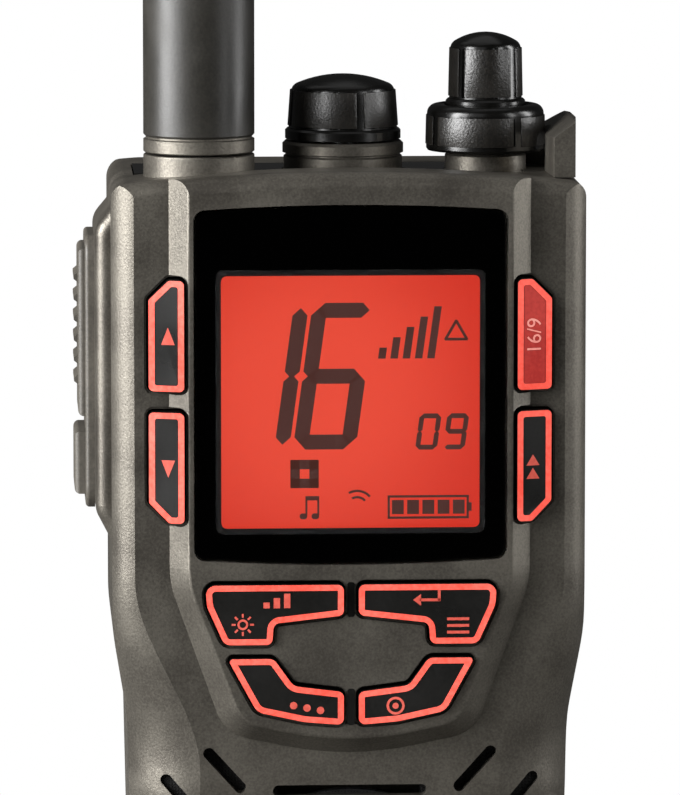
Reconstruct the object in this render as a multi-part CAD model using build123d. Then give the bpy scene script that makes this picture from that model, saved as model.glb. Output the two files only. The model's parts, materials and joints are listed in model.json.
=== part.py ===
from build123d import *
import os
from math import atan2, cos, radians, sin, sqrt

# Handheld marine VHF radio. Millimetres, +Z up along the antenna, the front faces -Y.
# The origin is the centre of the flat base on which the radio stands.

# ---------------------------------------------------------------- the case
DECK_Z = 123.7  # flat top deck over the base
RIM_RISE = 1.3  # the front rim arches this far over the deck in the middle
RIM_RADIUS = 250.0  # radius of that arch
SIDE_MARGIN = 4.6  # from the side keys out to the side wall
WAIST_PULL = 1.9  # each side comes in this far below the keypad, where the hand holds it
FOOT_PULL = 3.0  # and this far at the foot
SHOULDER_DROP = 57.5  # from the deck down to where the case starts to narrow
WAIST_DROP = 69.0  # from the deck down to the waist
WALL = 2.2
FIELD_Y = -17.5  # flat front field
BACK_Y = 22.0
PART_Y = 10.0  # the seam between front and rear housing
CORNER_RADIUS = 2.2
FOOT_RADIUS = 7.0
WAIST_RADIUS = 26.0
TOP_ROUND = 2.0
FOOT_ROUND = 3.5
BACK_ROUND = 5.5
SEAL_INSET = 0.7  # from the outer face to the seam's seal cord
SEAL_SIZE = 0.8

# Flanks: the front field stops at EDGE, and a convex flank falls away to the side wall.
EDGE_MARGIN = 2.8  # from the field's edge to the side wall, beside the display
FIELD_INSET = 11.0  # from the field's edge to the side wall, beside the speaker
FLANK_TOP_DEPTH = 4.0
FLANK_LOW_DEPTH = 7.5
FLANK_BULGE = 0.13

# Raised panel that carries the display and the keypad.
PANEL_RISE = 2.5
PANEL_SIDE = 0.7  # from the lens to the panel's edge
PANEL_BEVEL = 2.4
PANEL_WALL = 3.0
PANEL_TAPER_DROP = 51.0  # from the deck down to where the panel starts to narrow
PANEL_LOW_DROP = 68.5
PANEL_LOW_PULL = 6.7  # the panel comes in this far at its lower end
PANEL_TIP = 2.8
PANEL_EDGE_ROUND = 0.5

# ---------------------------------------------------------------- display
LENS_SIDE = 3.5  # from the view window to the lens' side edges
LENS_DROP = 3.6  # from the deck to the lens' upper corners
LENS_HEIGHT = 44.0
LENS_CROWN = 0.7
LENS_CORNER = 1.5
LENS_THICKNESS = 1.5
LENS_SINK = 0.3
LENS_GAP = 0.12
VIEW_WIDTH = 32.4
VIEW_HEIGHT = 31.9
VIEW_DROP = 11.9
VIEW_CORNER = 1.0
VIEW_MARGIN = 0.8
GLASS_MARGIN = 2.3
GLASS_THICKNESS = 1.8
GUIDE_THICKNESS = 2.0
HOLDER_WALL = 0.9
HOLDER_FLOOR = 0.6
FIT = 0.15
APART = 0.3  # free space between pieces that move past one another

# ---------------------------------------------------------------- keys
KEY_TRAVEL = 0.4
KEY_GAP = APART
KEY_PROUD = 0.7
KEY_WELL = 0.55
KEY_WELL_DEPTH = 0.9
KEY_RIM = 0.75
KEY_FACE_SINK = 0.2
KEY_FLANGE = 0.5
KEY_FLANGE_THICKNESS = 0.6
STEM_RADIUS = 1.2
DOME_RADIUS = 2.1
DOME_HEIGHT = 0.45
DOME_GAP = APART
SIDE_KEY_INSET = 0.6  # from the panel's edge
SIDE_KEY_WIDTH = 4.4
SIDE_KEY_HEIGHT = 14.0
SIDE_KEY_SPACING = 2.7
SIDE_KEY_DROP = 12.3
SIDE_KEY_CHAMFER = 2.5
SIDE_KEY_SLOPE = 0.33
KEYPAD_DROP = 50.8
MAT_THICKNESS = 0.6

KEYPAD_MARGIN = 2.0  # from the upper keys to the panel's edge
KEY_SPLIT = 0.95  # half the bar between the left and the right keys
UPPER_STEM = (12.6, -3.7)
LOWER_STEM = (9.2, -14.7)

# ---------------------------------------------------------------- boards
BOARD_THICKNESS = 1.6
BOARD_INSET = 4.4  # from the main board to the side wall's outer face
BOARD_LOW_HALF_WIDTH = 20.2
BOARD_TAB_HALF_WIDTH = 12.0
BOARD_SCREW_RADIUS = 0.9
STANDOFF_RADIUS = 2.0
CAN_HEIGHT = 2.0  # off the board
CAN_SHEET = 0.3
CAN_REACH = 21.5  # from the middle to the outer sides of the upper cans
CAN_GAP = 3.0
CAN_TOP = 12.0  # over the middle of the display
TRANSMITTER_CAN_HEIGHT = 26.0
RECEIVER_CAN_HEIGHT = 22.0
PROCESSOR_CAN_HEIGHT = 22.0
PROCESSOR_CAN_HALF_WIDTH = 14.0
CHASSIS_PLATE = 1.8
CHASSIS_DEPTH = 8.4
CHASSIS_RIB_PITCH = 9.0

# ---------------------------------------------------------------- speaker
SPEAKER_Z = 28.0
SPEAKER_RADIUS = 17.8
SPEAKER_DEPTH = 5.7
MAGNET_RADIUS = 9.0
SLOT_WIDTH = 1.5
SLOT_PITCH = 6.0
SLOT_COUNT = 7
SLOT_REACH = 9.8
MIC_X = 13.0
MIC_Z = 8.0
MIC_RADIUS = 3.0

# ---------------------------------------------------------------- battery
CELL_RADIUS = 7.1
CELL_LENGTH = 50.5
CELL_PITCH = 14.5
CELL_GAP = 0.35
NUB_RADIUS = 2.7
NUB_HEIGHT = 1.2
SPRING_HEIGHT = 2.6
PLATE_THICKNESS = 0.5
BAY_Z = 12.5
BAY_WALL = 1.2
DOOR_THICKNESS = 2.0
DOOR_SIDE = 5.0  # from the door to the side wall
DOOR_MARGIN = 4.6
DOOR_GAP = APART
DOOR_CORNER = 2.5
GASKET_THICKNESS = 0.8
DOOR_SCREW_X = 17.5

# ---------------------------------------------------------------- screws
SCREW_RADIUS = 1.0
SCREW_HEAD_RADIUS = 1.9
SCREW_HEAD_HEIGHT = 1.2
SCREW_CLEARANCE = APART
CASE_SCREW_SINK = 0.4  # the case screws' heads lie this far under the back
BOSS_RADIUS = 2.6
BOSS_DEPTH = 4.2

# ---------------------------------------------------------------- top controls
SQUELCH_BOSS_RADIUS = 7.75
SQUELCH_BOSS_HEIGHT = 3.7
SQUELCH_RADIUS = 7.3
SQUELCH_HEIGHT = 8.2
VOLUME_INSET = 11.7  # from the right-hand control's axis to the side wall
VOLUME_BOSS_RADIUS = 5.2
VOLUME_BOSS_HEIGHT = 2.1
RING_RADIUS = 7.6
RING_HEIGHT = 5.9
RING_ROUND = 1.2  # rounding of the ring's upper edge
RING_LAND = 0.9  # from the volume knob to the ring's dish
VOLUME_RADIUS = 5.0
VOLUME_HEIGHT = 9.7
KNOB_ROUND = 1.2  # rounding between a knob's side and its dome
KNOB_GAP = APART
BUSH_RADIUS = 3.4
BUSH_WALL = 1.35
NUT_HEIGHT = 1.3
NUT_RADIUS = 4.9
SHAFT_CLEARANCE = 0.05
SQUELCH_SHAFT_RADIUS = 2.0
INNER_SHAFT_RADIUS = 1.0
CONTROL_HEIGHT = 6.5
CONTROL_HALF_WIDTH = 5.2
PANEL_INLAY = 1.0
INLAY_MARGIN = 3.0  # from the deck's black inlay to the side wall
INLAY_FRONT_Y = -6.0
EYELET_SEAT = 4.5  # the inlay stops this far right of the control's axis, under the eyelet

# ---------------------------------------------------------------- antenna
ANTENNA_INSET = 11.3  # from the antenna's axis to the side wall
ANTENNA_Y = -8.5
ANTENNA_RADIUS = 7.05
ANTENNA_TIP_RADIUS = 5.0
ANTENNA_LENGTH = 128.0
ANTENNA_BOSS_HEIGHT = 2.8
COLLAR_HEIGHT = 2.0
GROOVE = 0.25
JACK_RADIUS = 3.1
JACK_FLANGE_RADIUS = 4.4
PLUG_WALL = 1.2
PIN_RADIUS = 0.6
COIL_RADIUS = 3.0
COIL_WIRE = 0.4
COIL_PITCH = 2.6
COIL_TURNS = 12
SEAL_RING_RADIUS = 5.75
SEAL_CORD = 0.45

# ---------------------------------------------------------------- strap eyelet
EYELET_GAP = 0.8
EYELET_WALL = 2.9
EYELET_INSET = 0.6
EYELET_HEIGHT = 7.0
EYELET_SLOPE = 0.72
EYELET_FRONT = 14.2
SLOT_HEIGHT = 4.6
SLOT_DEPTH = 4.6
SLOT_SILL = 0.2

# ---------------------------------------------------------------- left side: press-to-talk
BULGE = 2.0
BULGE_TOP_DROP = 6.4
BULGE_LOW_DROP = 42.6
BULGE_RAMP = 3.6
BULGE_FRONT_Y = -11.5
BULGE_REAR_Y = 9.0
BULGE_ROUND = 1.6
BEZEL_THICKNESS = 1.2
BEZEL_HALF_DEPTH = 7.9
BEZEL_RIM = 1.5
BEZEL_BAR = 1.4
BEZEL_TOP_DROP = 7.8
TALK_HEIGHT = 22.0
LIGHT_HEIGHT = 8.6
TALK_PROUD = 0.9
LIGHT_PROUD = 1.4
TALK_TRAVEL = 0.8
RIB_COUNT = 6
RIB_PITCH = 2.62
RIB_HEIGHT = 0.5
SIDE_GAP = APART
SIDE_FLANGE = 0.8
SWITCH_SIZE = 6.0
SWITCH_HEIGHT = 1.6
SWITCH_BUTTON_RADIUS = 1.6
SWITCH_BUTTON_HEIGHT = 0.4
SIDE_BOARD_THICKNESS = 1.0

# ---------------------------------------------------------------- right side: accessory jack
JACK_TOP_Z_DROP = 22.7
JACK_SPACING = 10.0
SPEAKER_JACK_RADIUS = 1.75
MIC_JACK_RADIUS = 1.25
JACK_DEPTH = 12.0
JACK_MOUTH_RADIUS = 3.2
COVER_THICKNESS = 1.4  # depth of the recess that the flap lies in
COVER_HALF_HEIGHT = 11.0
COVER_FRONT_Y = -6.0
COVER_HINGE_Y = 7.0
COVER_GAP = APART
PLUG_PAD_HEIGHT = 0.8

# ---------------------------------------------------------------- belt clip
CLIP_HINGE_DROP = 11.5
CLIP_HINGE_RISE = 4.6
CLIP_PIN_RADIUS = 1.25
CLIP_HALF_WIDTH = 9.0
CLIP_EAR = 1.8
CLIP_THICKNESS = 2.0
CLIP_LENGTH = 40.0
CLIP_BEAD = 1.9
CLIP_LEVER = 4.5
CLIP_GAP = APART
BRACKET_THICKNESS = 1.6
BRACKET_DROP = 17.0
BRACKET_SCREW_X = 6.0
KNUCKLE_RADIUS = 2.3
SPRING_WIRE = 0.4
SPRING_HALF_LENGTH = 2.75

# ---------------------------------------------------------------- charging contacts
CHARGE_X = 8.0
CHARGE_Y = 15.5
CHARGE_RADIUS = 2.0
CHARGE_LENGTH = 1.8
CHARGE_SINK = 0.15

FAR = 200.0  # beyond every face, for cutting blocks

# ---------------------------------------------------------------- derived places
LENS_HALF_WIDTH = VIEW_WIDTH / 2 + LENS_SIDE
PANEL_HALF_WIDTH = LENS_HALF_WIDTH + PANEL_SIDE
PANEL_LOW_HALF_WIDTH = PANEL_HALF_WIDTH - PANEL_LOW_PULL
SIDE_KEY_X = PANEL_HALF_WIDTH + SIDE_KEY_INSET
HALF_WIDTH = SIDE_KEY_X + SIDE_KEY_WIDTH + SIDE_MARGIN
WAIST_HALF_WIDTH = HALF_WIDTH - WAIST_PULL
FOOT_HALF_WIDTH = HALF_WIDTH - FOOT_PULL
FIELD_HALF_WIDTH = HALF_WIDTH - FIELD_INSET
BOARD_HALF_WIDTH = HALF_WIDTH - BOARD_INSET
DOOR_HALF_WIDTH = HALF_WIDTH - DOOR_SIDE
VOLUME_X = HALF_WIDTH - VOLUME_INSET
ANTENNA_X = ANTENNA_INSET - HALF_WIDTH
RIM_Z = DECK_Z + RIM_RISE
SHOULDER_Z = DECK_Z - SHOULDER_DROP
WAIST_Z = DECK_Z - WAIST_DROP
PANEL_Y = FIELD_Y - PANEL_RISE
FIELD_IN = FIELD_Y + WALL
PANEL_IN = PANEL_Y + PANEL_WALL
BACK_IN = BACK_Y - WALL
DECK_IN = DECK_Z - WALL
SIDE_IN = HALF_WIDTH - WALL
LENS_FLOOR = PANEL_Y + LENS_SINK + LENS_THICKNESS
LENS_TOP_Z = DECK_Z - LENS_DROP
VIEW_Z = DECK_Z - VIEW_DROP - VIEW_HEIGHT / 2
GLASS_Y = PANEL_IN
GUIDE_Y = GLASS_Y + GLASS_THICKNESS
BOARD_Y = GUIDE_Y + GUIDE_THICKNESS + HOLDER_FLOOR
BOARD_BACK_Y = BOARD_Y + BOARD_THICKNESS
STEM_TIP_Y = BOARD_Y - DOME_HEIGHT - DOME_GAP - KEY_TRAVEL
MAT_Y = BOARD_Y - MAT_THICKNESS
KEYPAD_Z = DECK_Z - KEYPAD_DROP
SIDE_KEY_Z = DECK_Z - SIDE_KEY_DROP
CAN_BACK_Y = BOARD_BACK_Y + CAN_HEIGHT
CHASSIS_BACK_Y = CAN_BACK_Y + CHASSIS_DEPTH
DOOR_Y = BACK_Y - DOOR_THICKNESS
LEDGE_Y = DOOR_Y - DOOR_GAP - GASKET_THICKNESS
REAR_ROW_Y = DOOR_Y - CELL_GAP - CELL_RADIUS
FRONT_ROW_Y = REAR_ROW_Y - sqrt(CELL_PITCH**2 - (CELL_PITCH / 2) ** 2)
BAY_FRONT_Y = FRONT_ROW_Y - CELL_RADIUS - CELL_GAP
BAY_HALF_WIDTH = CELL_PITCH + CELL_RADIUS + CELL_GAP
BAY_LENGTH = SPRING_HEIGHT + CELL_LENGTH + PLATE_THICKNESS
BAY_TOP_Z = BAY_Z + BAY_LENGTH
DOOR_LOW_Z = BAY_Z - DOOR_MARGIN
DOOR_TOP_Z = BAY_TOP_Z + DOOR_MARGIN
LEDGE_THICKNESS = 1.6
SQUELCH_BOSS_Z = DECK_Z + SQUELCH_BOSS_HEIGHT
VOLUME_BOSS_Z = DECK_Z + VOLUME_BOSS_HEIGHT
RING_Z = VOLUME_BOSS_Z + KNOB_GAP
RING_TOP_Z = RING_Z + RING_HEIGHT
TUBE_RADIUS = BUSH_RADIUS - 0.9
ANTENNA_BOSS_Z = DECK_Z + ANTENNA_BOSS_HEIGHT
JACK_SEAT_Z = DECK_IN - 0.6
PLUG_Z = DECK_IN + 0.4
COLLAR_Z = ANTENNA_BOSS_Z + GROOVE
SHEATH_Z = COLLAR_Z + COLLAR_HEIGHT
COIL_Z = SHEATH_Z + 4.0
COIL_TOP_Z = COIL_Z + COIL_PITCH * COIL_TURNS + 1.5
BULGE_X = -HALF_WIDTH - BULGE
BEZEL_X = BULGE_X - BEZEL_THICKNESS
BEZEL_TOP_Z = DECK_Z - BEZEL_TOP_DROP
TALK_TOP_Z = BEZEL_TOP_Z - BEZEL_RIM
TALK_LOW_Z = TALK_TOP_Z - TALK_HEIGHT
LIGHT_TOP_Z = TALK_LOW_Z - BEZEL_BAR
LIGHT_LOW_Z = LIGHT_TOP_Z - LIGHT_HEIGHT
BEZEL_LOW_Z = LIGHT_LOW_Z - BEZEL_RIM
KEY_HALF_DEPTH = BEZEL_HALF_DEPTH - BEZEL_RIM
SWITCH_X = -SIDE_IN - SWITCH_HEIGHT
SWITCH_TIP_X = SWITCH_X - SWITCH_BUTTON_HEIGHT
SIDE_KEY_STOP_X = SWITCH_TIP_X - TALK_TRAVEL - SIDE_GAP
SPEAKER_JACK_Z = DECK_Z - JACK_TOP_Z_DROP
MIC_JACK_Z = SPEAKER_JACK_Z - JACK_SPACING
JACK_MID_Z = (SPEAKER_JACK_Z + MIC_JACK_Z) / 2
COVER_X = HALF_WIDTH - COVER_THICKNESS
COVER_HINGE_X = HALF_WIDTH - (COVER_THICKNESS - COVER_GAP) / 2
CLIP_HINGE_Z = DECK_Z - CLIP_HINGE_DROP
CLIP_HINGE_Y = BACK_Y + CLIP_HINGE_RISE
CLIP_LOW_Z = CLIP_HINGE_Z - CLIP_LENGTH
BRACKET_TOP_Z = CLIP_HINGE_Z + 3.0
BRACKET_LOW_Z = BRACKET_TOP_Z - BRACKET_DROP
BRACKET_SCREW_Z = BRACKET_LOW_Z + 4.0
EYELET_RADIUS = RING_RADIUS + EYELET_GAP

# Right-hand keypad keys as (x, height under the keypad's top, corner radius).
KEYPAD_REACH = PANEL_HALF_WIDTH - KEYPAD_MARGIN
UPPER_KEY = [(KEY_SPLIT, 0, 0.8), (KEYPAD_REACH, 0, 1.2), (KEYPAD_REACH - 0.2, -2.7, 3),
             (KEYPAD_REACH - 2.4, -7.6, 1.2), (10.0, -7.6, 0.8), (9.8, -4.9, 0.9), (KEY_SPLIT, -3.9, 0.8)]
LOWER_KEY = [(9.8, -9.4, 1.2), (KEYPAD_REACH - 2.8, -9.4, 0.4), (KEYPAD_REACH - 6.5, -16.2, 2.0),
             (5.9, -17.5, 6), (KEY_SPLIT, -17.9, 0.8), (KEY_SPLIT, -13.7, 0.8), (7.3, -12.9, 1.6)]

# Case screws as (x, z): top corners, above the battery door, and under it.
CASE_SCREWS = [(side * x, z) for side in (-1, 1) for x, z in (
    (HALF_WIDTH - 8.0, DECK_Z - 6.9),
    (HALF_WIDTH - 6.6, DOOR_TOP_Z + 4.6),
    (DOOR_SCREW_X - 0.5, DOOR_LOW_Z - 3.4),
)]
DOOR_SCREWS = [(side * DOOR_SCREW_X, z) for side in (-1, 1)
               for z in (BAY_Z - DOOR_MARGIN / 2, BAY_TOP_Z + DOOR_MARGIN / 2)]
BOARD_SCREWS = [(side * x, z) for side in (-1, 1) for x, z in (
    (BOARD_TAB_HALF_WIDTH - 2.5, DECK_Z - 5.9),
    (BOARD_LOW_HALF_WIDTH / 3, WAIST_Z - 3.7),
)]


# ================================================================ helpers
def front_plane(y):
    """A plane that faces -Y: what is drawn at (u, v) on it lies at x = u, z = v."""
    return Plane(origin=(0, y, 0), x_dir=(1, 0, 0), z_dir=(0, -1, 0))


def slab(sketch, y_front, y_back):
    """An outline drawn in (x, z), thick from y_front back to y_back."""
    return extrude(front_plane(y_back) * sketch, amount=y_back - y_front)


def block(x0, x1, y0, y1, z0, z1):
    return Pos((x0 + x1) / 2, (y0 + y1) / 2, (z0 + z1) / 2) * Box(abs(x1 - x0), abs(y1 - y0), abs(z1 - z0))


def rod_z(radius, z0, z1, x=0.0, y=0.0):
    return Pos(x, y, (z0 + z1) / 2) * Cylinder(radius, z1 - z0)


def rod_y(radius, y0, y1, x, z):
    return Pos(x, (y0 + y1) / 2, z) * Rot(90, 0, 0) * Cylinder(radius, y1 - y0)


def rod_x(radius, x0, x1, y, z):
    return Pos((x0 + x1) / 2, y, z) * Rot(0, 90, 0) * Cylinder(radius, x1 - x0)


def turned(profile, x=0.0, y=0.0):
    """A solid of revolution about a vertical axis, from (radius, z) corners."""
    face = make_face(Plane.XZ * Polyline(*profile, close=True))
    return Pos(x, y, 0) * revolve(face, Axis.Z)


def cap_arc(radius, z_edge, z_top):
    """Arc from a rim up to the axis, part of a circle centred on that axis."""
    rise = z_top - z_edge
    ball = (radius**2 + rise**2) / (2 * rise)
    half_angle = atan2(radius, ball - rise) / 2
    middle = (ball * sin(half_angle), z_top - ball + ball * cos(half_angle))
    return ThreePointArc((radius, z_edge), middle, (0, z_top))


def rounded_outline(corners):
    """A closed outline from (u, v, corner radius) corners."""
    points = [(u, v) for u, v, _ in corners]
    return make_face(FilletPolyline(*points, radius=[r for _, _, r in corners], close=True))


def rounded_box_outline(half_width, z_low, z_top, radius):
    return rounded_outline([(-half_width, z_low, radius), (half_width, z_low, radius),
                            (half_width, z_top, radius), (-half_width, z_top, radius)])


def mirrored(shape):
    return mirror(shape, about=Plane.YZ)


def both_sides(shape):
    return shape + mirrored(shape)


def screw(x, z, y_head, length, radius=SCREW_RADIUS, head_radius=SCREW_HEAD_RADIUS):
    """A pan-head screw driven from behind: the head's top faces +Y at y_head."""
    head = rod_y(head_radius, y_head - SCREW_HEAD_HEIGHT, y_head, x, z)
    head = fillet(head.edges().sort_by(Axis.Y)[-1], 0.35)
    shank = rod_y(radius, y_head - SCREW_HEAD_HEIGHT - length, y_head - SCREW_HEAD_HEIGHT, x, z)
    slot_depth = SCREW_HEAD_HEIGHT / 2
    reach, half = head_radius * 0.6, 0.22
    y0, y1 = y_head - slot_depth, y_head + 1
    drive = block(x - reach, x + reach, y0, y1, z - half, z + half)
    cross = block(x - half, x + half, y0, y1, z - reach, z + reach)
    return head + shank - drive - cross


BUILT = {}


def once(maker):
    """A shape that several pieces share, built the first time it is asked for."""
    if maker not in BUILT:
        BUILT[maker] = maker()
    return BUILT[maker]


def group(solids):
    return Compound(children=[s for shape in solids for s in shape.solids()])


# ================================================================ the case
def half_width_at(z):
    """Half the case's width, without the roundings of its outline."""
    levels = [(-20.0, FOOT_HALF_WIDTH), (0.0, FOOT_HALF_WIDTH), (WAIST_Z, WAIST_HALF_WIDTH),
              (SHOULDER_Z, HALF_WIDTH), (RIM_Z + 20.0, HALF_WIDTH)]
    for (z0, x0), (z1, x1) in zip(levels, levels[1:]):
        if z <= z1:
            return x0 + (x1 - x0) * (z - z0) / (z1 - z0)
    return HALF_WIDTH


def case_outline():
    right = [(FOOT_HALF_WIDTH, 0, FOOT_RADIUS), (WAIST_HALF_WIDTH, WAIST_Z, WAIST_RADIUS),
             (HALF_WIDTH, SHOULDER_Z, WAIST_RADIUS), (HALF_WIDTH, RIM_Z + 10, 1)]
    left = [(-x, z, r) for x, z, r in reversed(right)]
    arch = Pos(0, RIM_Z - RIM_RADIUS) * Circle(RIM_RADIUS)
    outline = rounded_outline(right + left) & arch
    return fillet(outline.vertices().sort_by(Axis.Y)[-2:], CORNER_RADIUS)


def deck_limit():
    """Everything under the deck, as an outline in (x, z)."""
    return Pos(0, DECK_Z - FAR / 2) * Rectangle(FAR, FAR)


def ease(z, low, high):
    """0 below low, 1 above high, with a smooth change between them."""
    t = min(max((z - low) / (high - low), 0.0), 1.0)
    return t * t * (3 - 2 * t)


def flank_section(z):
    """What the right-hand flank cuts away at height z."""
    share = ease(z, WAIST_Z - 6.0, SHOULDER_Z + 7.0)
    x_edge = FIELD_HALF_WIDTH + (HALF_WIDTH - EDGE_MARGIN - FIELD_HALF_WIDTH) * share
    depth = FLANK_LOW_DEPTH + (FLANK_TOP_DEPTH - FLANK_LOW_DEPTH) * share
    low_side = FOOT_HALF_WIDTH + (WAIST_HALF_WIDTH - FOOT_HALF_WIDTH) * z / WAIST_Z
    x_side = low_side + (HALF_WIDTH - low_side) * ease(z, WAIST_Z - 2.7, SHOULDER_Z + 2.8) + 0.5
    y_side = FIELD_Y + depth
    middle_x = (x_edge + x_side) / 2 + depth * FLANK_BULGE
    middle_y = (FIELD_Y + y_side) / 2 - (x_side - x_edge) * FLANK_BULGE
    far_x, far_y = HALF_WIDTH + 7, FIELD_Y - 6
    arc = ThreePointArc((x_edge, FIELD_Y, z), (middle_x, middle_y, z), (x_side, y_side, z))
    lines = Polyline((x_side, y_side, z), (far_x, y_side, z), (far_x, far_y, z), (x_edge, far_y, z),
                     (x_edge, FIELD_Y, z))
    return make_face([arc, *lines.edges()])


def flank_cutters():
    """Both flanks: straight beside the display, sweeping wider beside the speaker."""
    low, high = WAIST_Z - 10.0, SHOULDER_Z + 11.0
    steps = 8
    sweep_levels = [low + (high - low) * i / steps for i in range(steps + 1)]
    upright = extrude(flank_section(high), amount=RIM_Z + 8 - high)
    sweeping = loft([flank_section(z) for z in sweep_levels])
    lower = loft([flank_section(-6.0), flank_section(low)], ruled=True)
    right = [upright, sweeping, lower]
    return right + [mirrored(piece) for piece in right]


def back_section(z):
    x_side = half_width_at(z) + 0.02
    r = BACK_ROUND
    inset = r * (1 - sqrt(0.5))
    arc = ThreePointArc((x_side, BACK_Y - r, z), (x_side - inset, BACK_Y - inset, z), (x_side - r, BACK_Y, z))
    lines = Polyline((x_side - r, BACK_Y, z), (x_side - r, BACK_Y + 5, z), (x_side + 5, BACK_Y + 5, z),
                     (x_side + 5, BACK_Y - r, z), (x_side, BACK_Y - r, z))
    return make_face([arc, *lines.edges()])


def back_cutter():
    """Rounds the right-hand rear edge along the waisted side."""
    levels = [-6.0, WAIST_Z / 2, WAIST_Z - 6, WAIST_Z, SHOULDER_Z, SHOULDER_Z + 6, DECK_Z - 20, RIM_Z + 8]
    return loft([back_section(z) for z in levels], ruled=True)


def front_edge_cutter(y_edge, radius):
    """Rounds the arched top edge at y_edge."""
    y_in = y_edge + radius
    half_way = radius * (1 - sqrt(0.5))
    z_low = RIM_Z - radius
    arc = ThreePointArc((0, y_edge, z_low), (0, y_edge + half_way, RIM_Z - half_way), (0, y_in, RIM_Z))
    y_out, z_out = y_edge - 4, RIM_Z + 4
    lines = Polyline((0, y_in, RIM_Z), (0, y_in, z_out), (0, y_out, z_out), (0, y_out, z_low),
                     (0, y_edge, z_low))
    profile = make_face([arc, *lines.edges()])
    centre = Axis((0, 0, RIM_Z - RIM_RADIUS), (0, 1, 0))
    sweep_angle = 18.0
    return revolve(profile.rotate(centre, -sweep_angle / 2), centre, sweep_angle)


def long_edge_cutter(y_edge, z_edge, dy, dz, r):
    """Rounds a straight edge along X; dy and dz point from the edge into the case."""
    square = block(-FAR, FAR, y_edge - dy * 3, y_edge + dy * r, z_edge - dz * 3, z_edge + dz * r)
    return square - rod_x(r, -FAR - 1, FAR + 1, y_edge + dy * r, z_edge + dz * r)


def outer_block():
    """The case's outer form without panel, bosses and side bulge."""
    body = slab(case_outline(), FIELD_Y, BACK_Y)
    rear = once(back_cutter)
    body = body - once(flank_cutters) - [rear, mirrored(rear)]
    body = body - front_edge_cutter(FIELD_Y, TOP_ROUND)
    body = body - long_edge_cutter(BACK_Y, DECK_Z, -1, -1, BACK_ROUND * 0.7)
    body = body - long_edge_cutter(FIELD_Y, 0, 1, 1, FOOT_ROUND)
    return body - long_edge_cutter(BACK_Y, 0, -1, 1, FOOT_ROUND)


def cavity():
    """The hollow inside the case, one wall in from every outer face."""
    hollow = slab(offset(case_outline(), -WALL), FIELD_IN, BACK_IN)
    hollow = hollow - block(-FAR, FAR, -FAR, FAR, DECK_IN, FAR)
    inward = WALL * 0.72
    for piece in once(flank_cutters):
        side = 1 if piece.center().X > 0 else -1
        hollow = hollow - Pos(-side * inward, inward, 0) * piece
    rear = Pos(-WALL * 0.8, -WALL * 0.8, 0) * once(back_cutter)
    hollow = hollow - rear - mirrored(rear)
    hollow = hollow - long_edge_cutter(FIELD_IN, WALL, 1, 1, FOOT_ROUND - 1)
    hollow = hollow - long_edge_cutter(BACK_IN, WALL, -1, 1, FOOT_ROUND - 1)
    return hollow - long_edge_cutter(BACK_IN, DECK_IN, -1, -1, FOOT_ROUND - 1)


def panel_outline(grow, top):
    """The raised panel's shield-shaped outline, grown outwards by grow."""
    low_x, low_z = PANEL_LOW_HALF_WIDTH, DECK_Z - PANEL_LOW_DROP
    taper_z = DECK_Z - PANEL_TAPER_DROP
    slope = atan2(PANEL_HALF_WIDTH - low_x, taper_z - low_z)
    side = grow / cos(slope)
    right = [(PANEL_HALF_WIDTH + grow, top, 0), (PANEL_HALF_WIDTH + grow, taper_z, 12),
             (low_x + side * 0.85, low_z - grow * 0.75, 4 + grow * 0.5)]
    left = [(-x, z, r) for x, z, r in reversed(right)]
    return rounded_outline(right + [(0, low_z - PANEL_TIP - grow * 0.95, 40)] + left)


def panel():
    """The bevelled panel, with a foot that reaches back into the case's front wall."""
    top = RIM_Z + 8
    root = front_plane(FIELD_Y) * panel_outline(PANEL_BEVEL, top)
    face = front_plane(PANEL_Y) * panel_outline(0, top)
    raised = loft([root, face], ruled=True)
    crest = raised.faces().sort_by(Axis.Y)[0].edges().filter_by(lambda edge: edge.center().Z < top - 1)
    raised = fillet(crest, PANEL_EDGE_ROUND)
    foot = slab(panel_outline(PANEL_BEVEL, top), FIELD_Y, FIELD_IN)
    whole = (raised + foot) & slab(case_outline(), PANEL_Y - 1, FIELD_IN)
    return whole - front_edge_cutter(PANEL_Y, TOP_ROUND)


def bulge():
    """The swelling on the left side that carries the press-to-talk keys."""
    top, low = DECK_Z - BULGE_TOP_DROP, DECK_Z - BULGE_LOW_DROP
    root = -HALF_WIDTH + 1.0
    outline = rounded_outline([(root, top + BULGE_RAMP, 0), (BULGE_X, top, 3.0), (BULGE_X, low, 3.0),
                               (root, low - BULGE_RAMP * 1.6, 0)])
    shape = slab(outline, BULGE_FRONT_Y, BULGE_REAR_Y)
    outer_edges = shape.edges().filter_by(lambda e: e.center().X < -HALF_WIDTH + 0.2 and
                                          (abs(e.center().Y - BULGE_FRONT_Y) < 0.01 or
                                           abs(e.center().Y - BULGE_REAR_Y) < 0.01))
    return fillet(outer_edges, BULGE_ROUND)


def lens_outline(gap):
    """The display lens' outline, with arched upper and lower edges."""
    x, top, low = LENS_HALF_WIDTH + gap, LENS_TOP_Z + gap, LENS_TOP_Z - LENS_HEIGHT - gap
    crown = LENS_CROWN
    top_arc = ThreePointArc((-x, top), (0, top + crown), (x, top))
    low_arc = ThreePointArc((x, low), (0, low - crown), (-x, low))
    face = make_face([top_arc, Line((x, top), (x, low)), low_arc, Line((-x, low), (-x, top))])
    return fillet(face.vertices(), LENS_CORNER)


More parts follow.
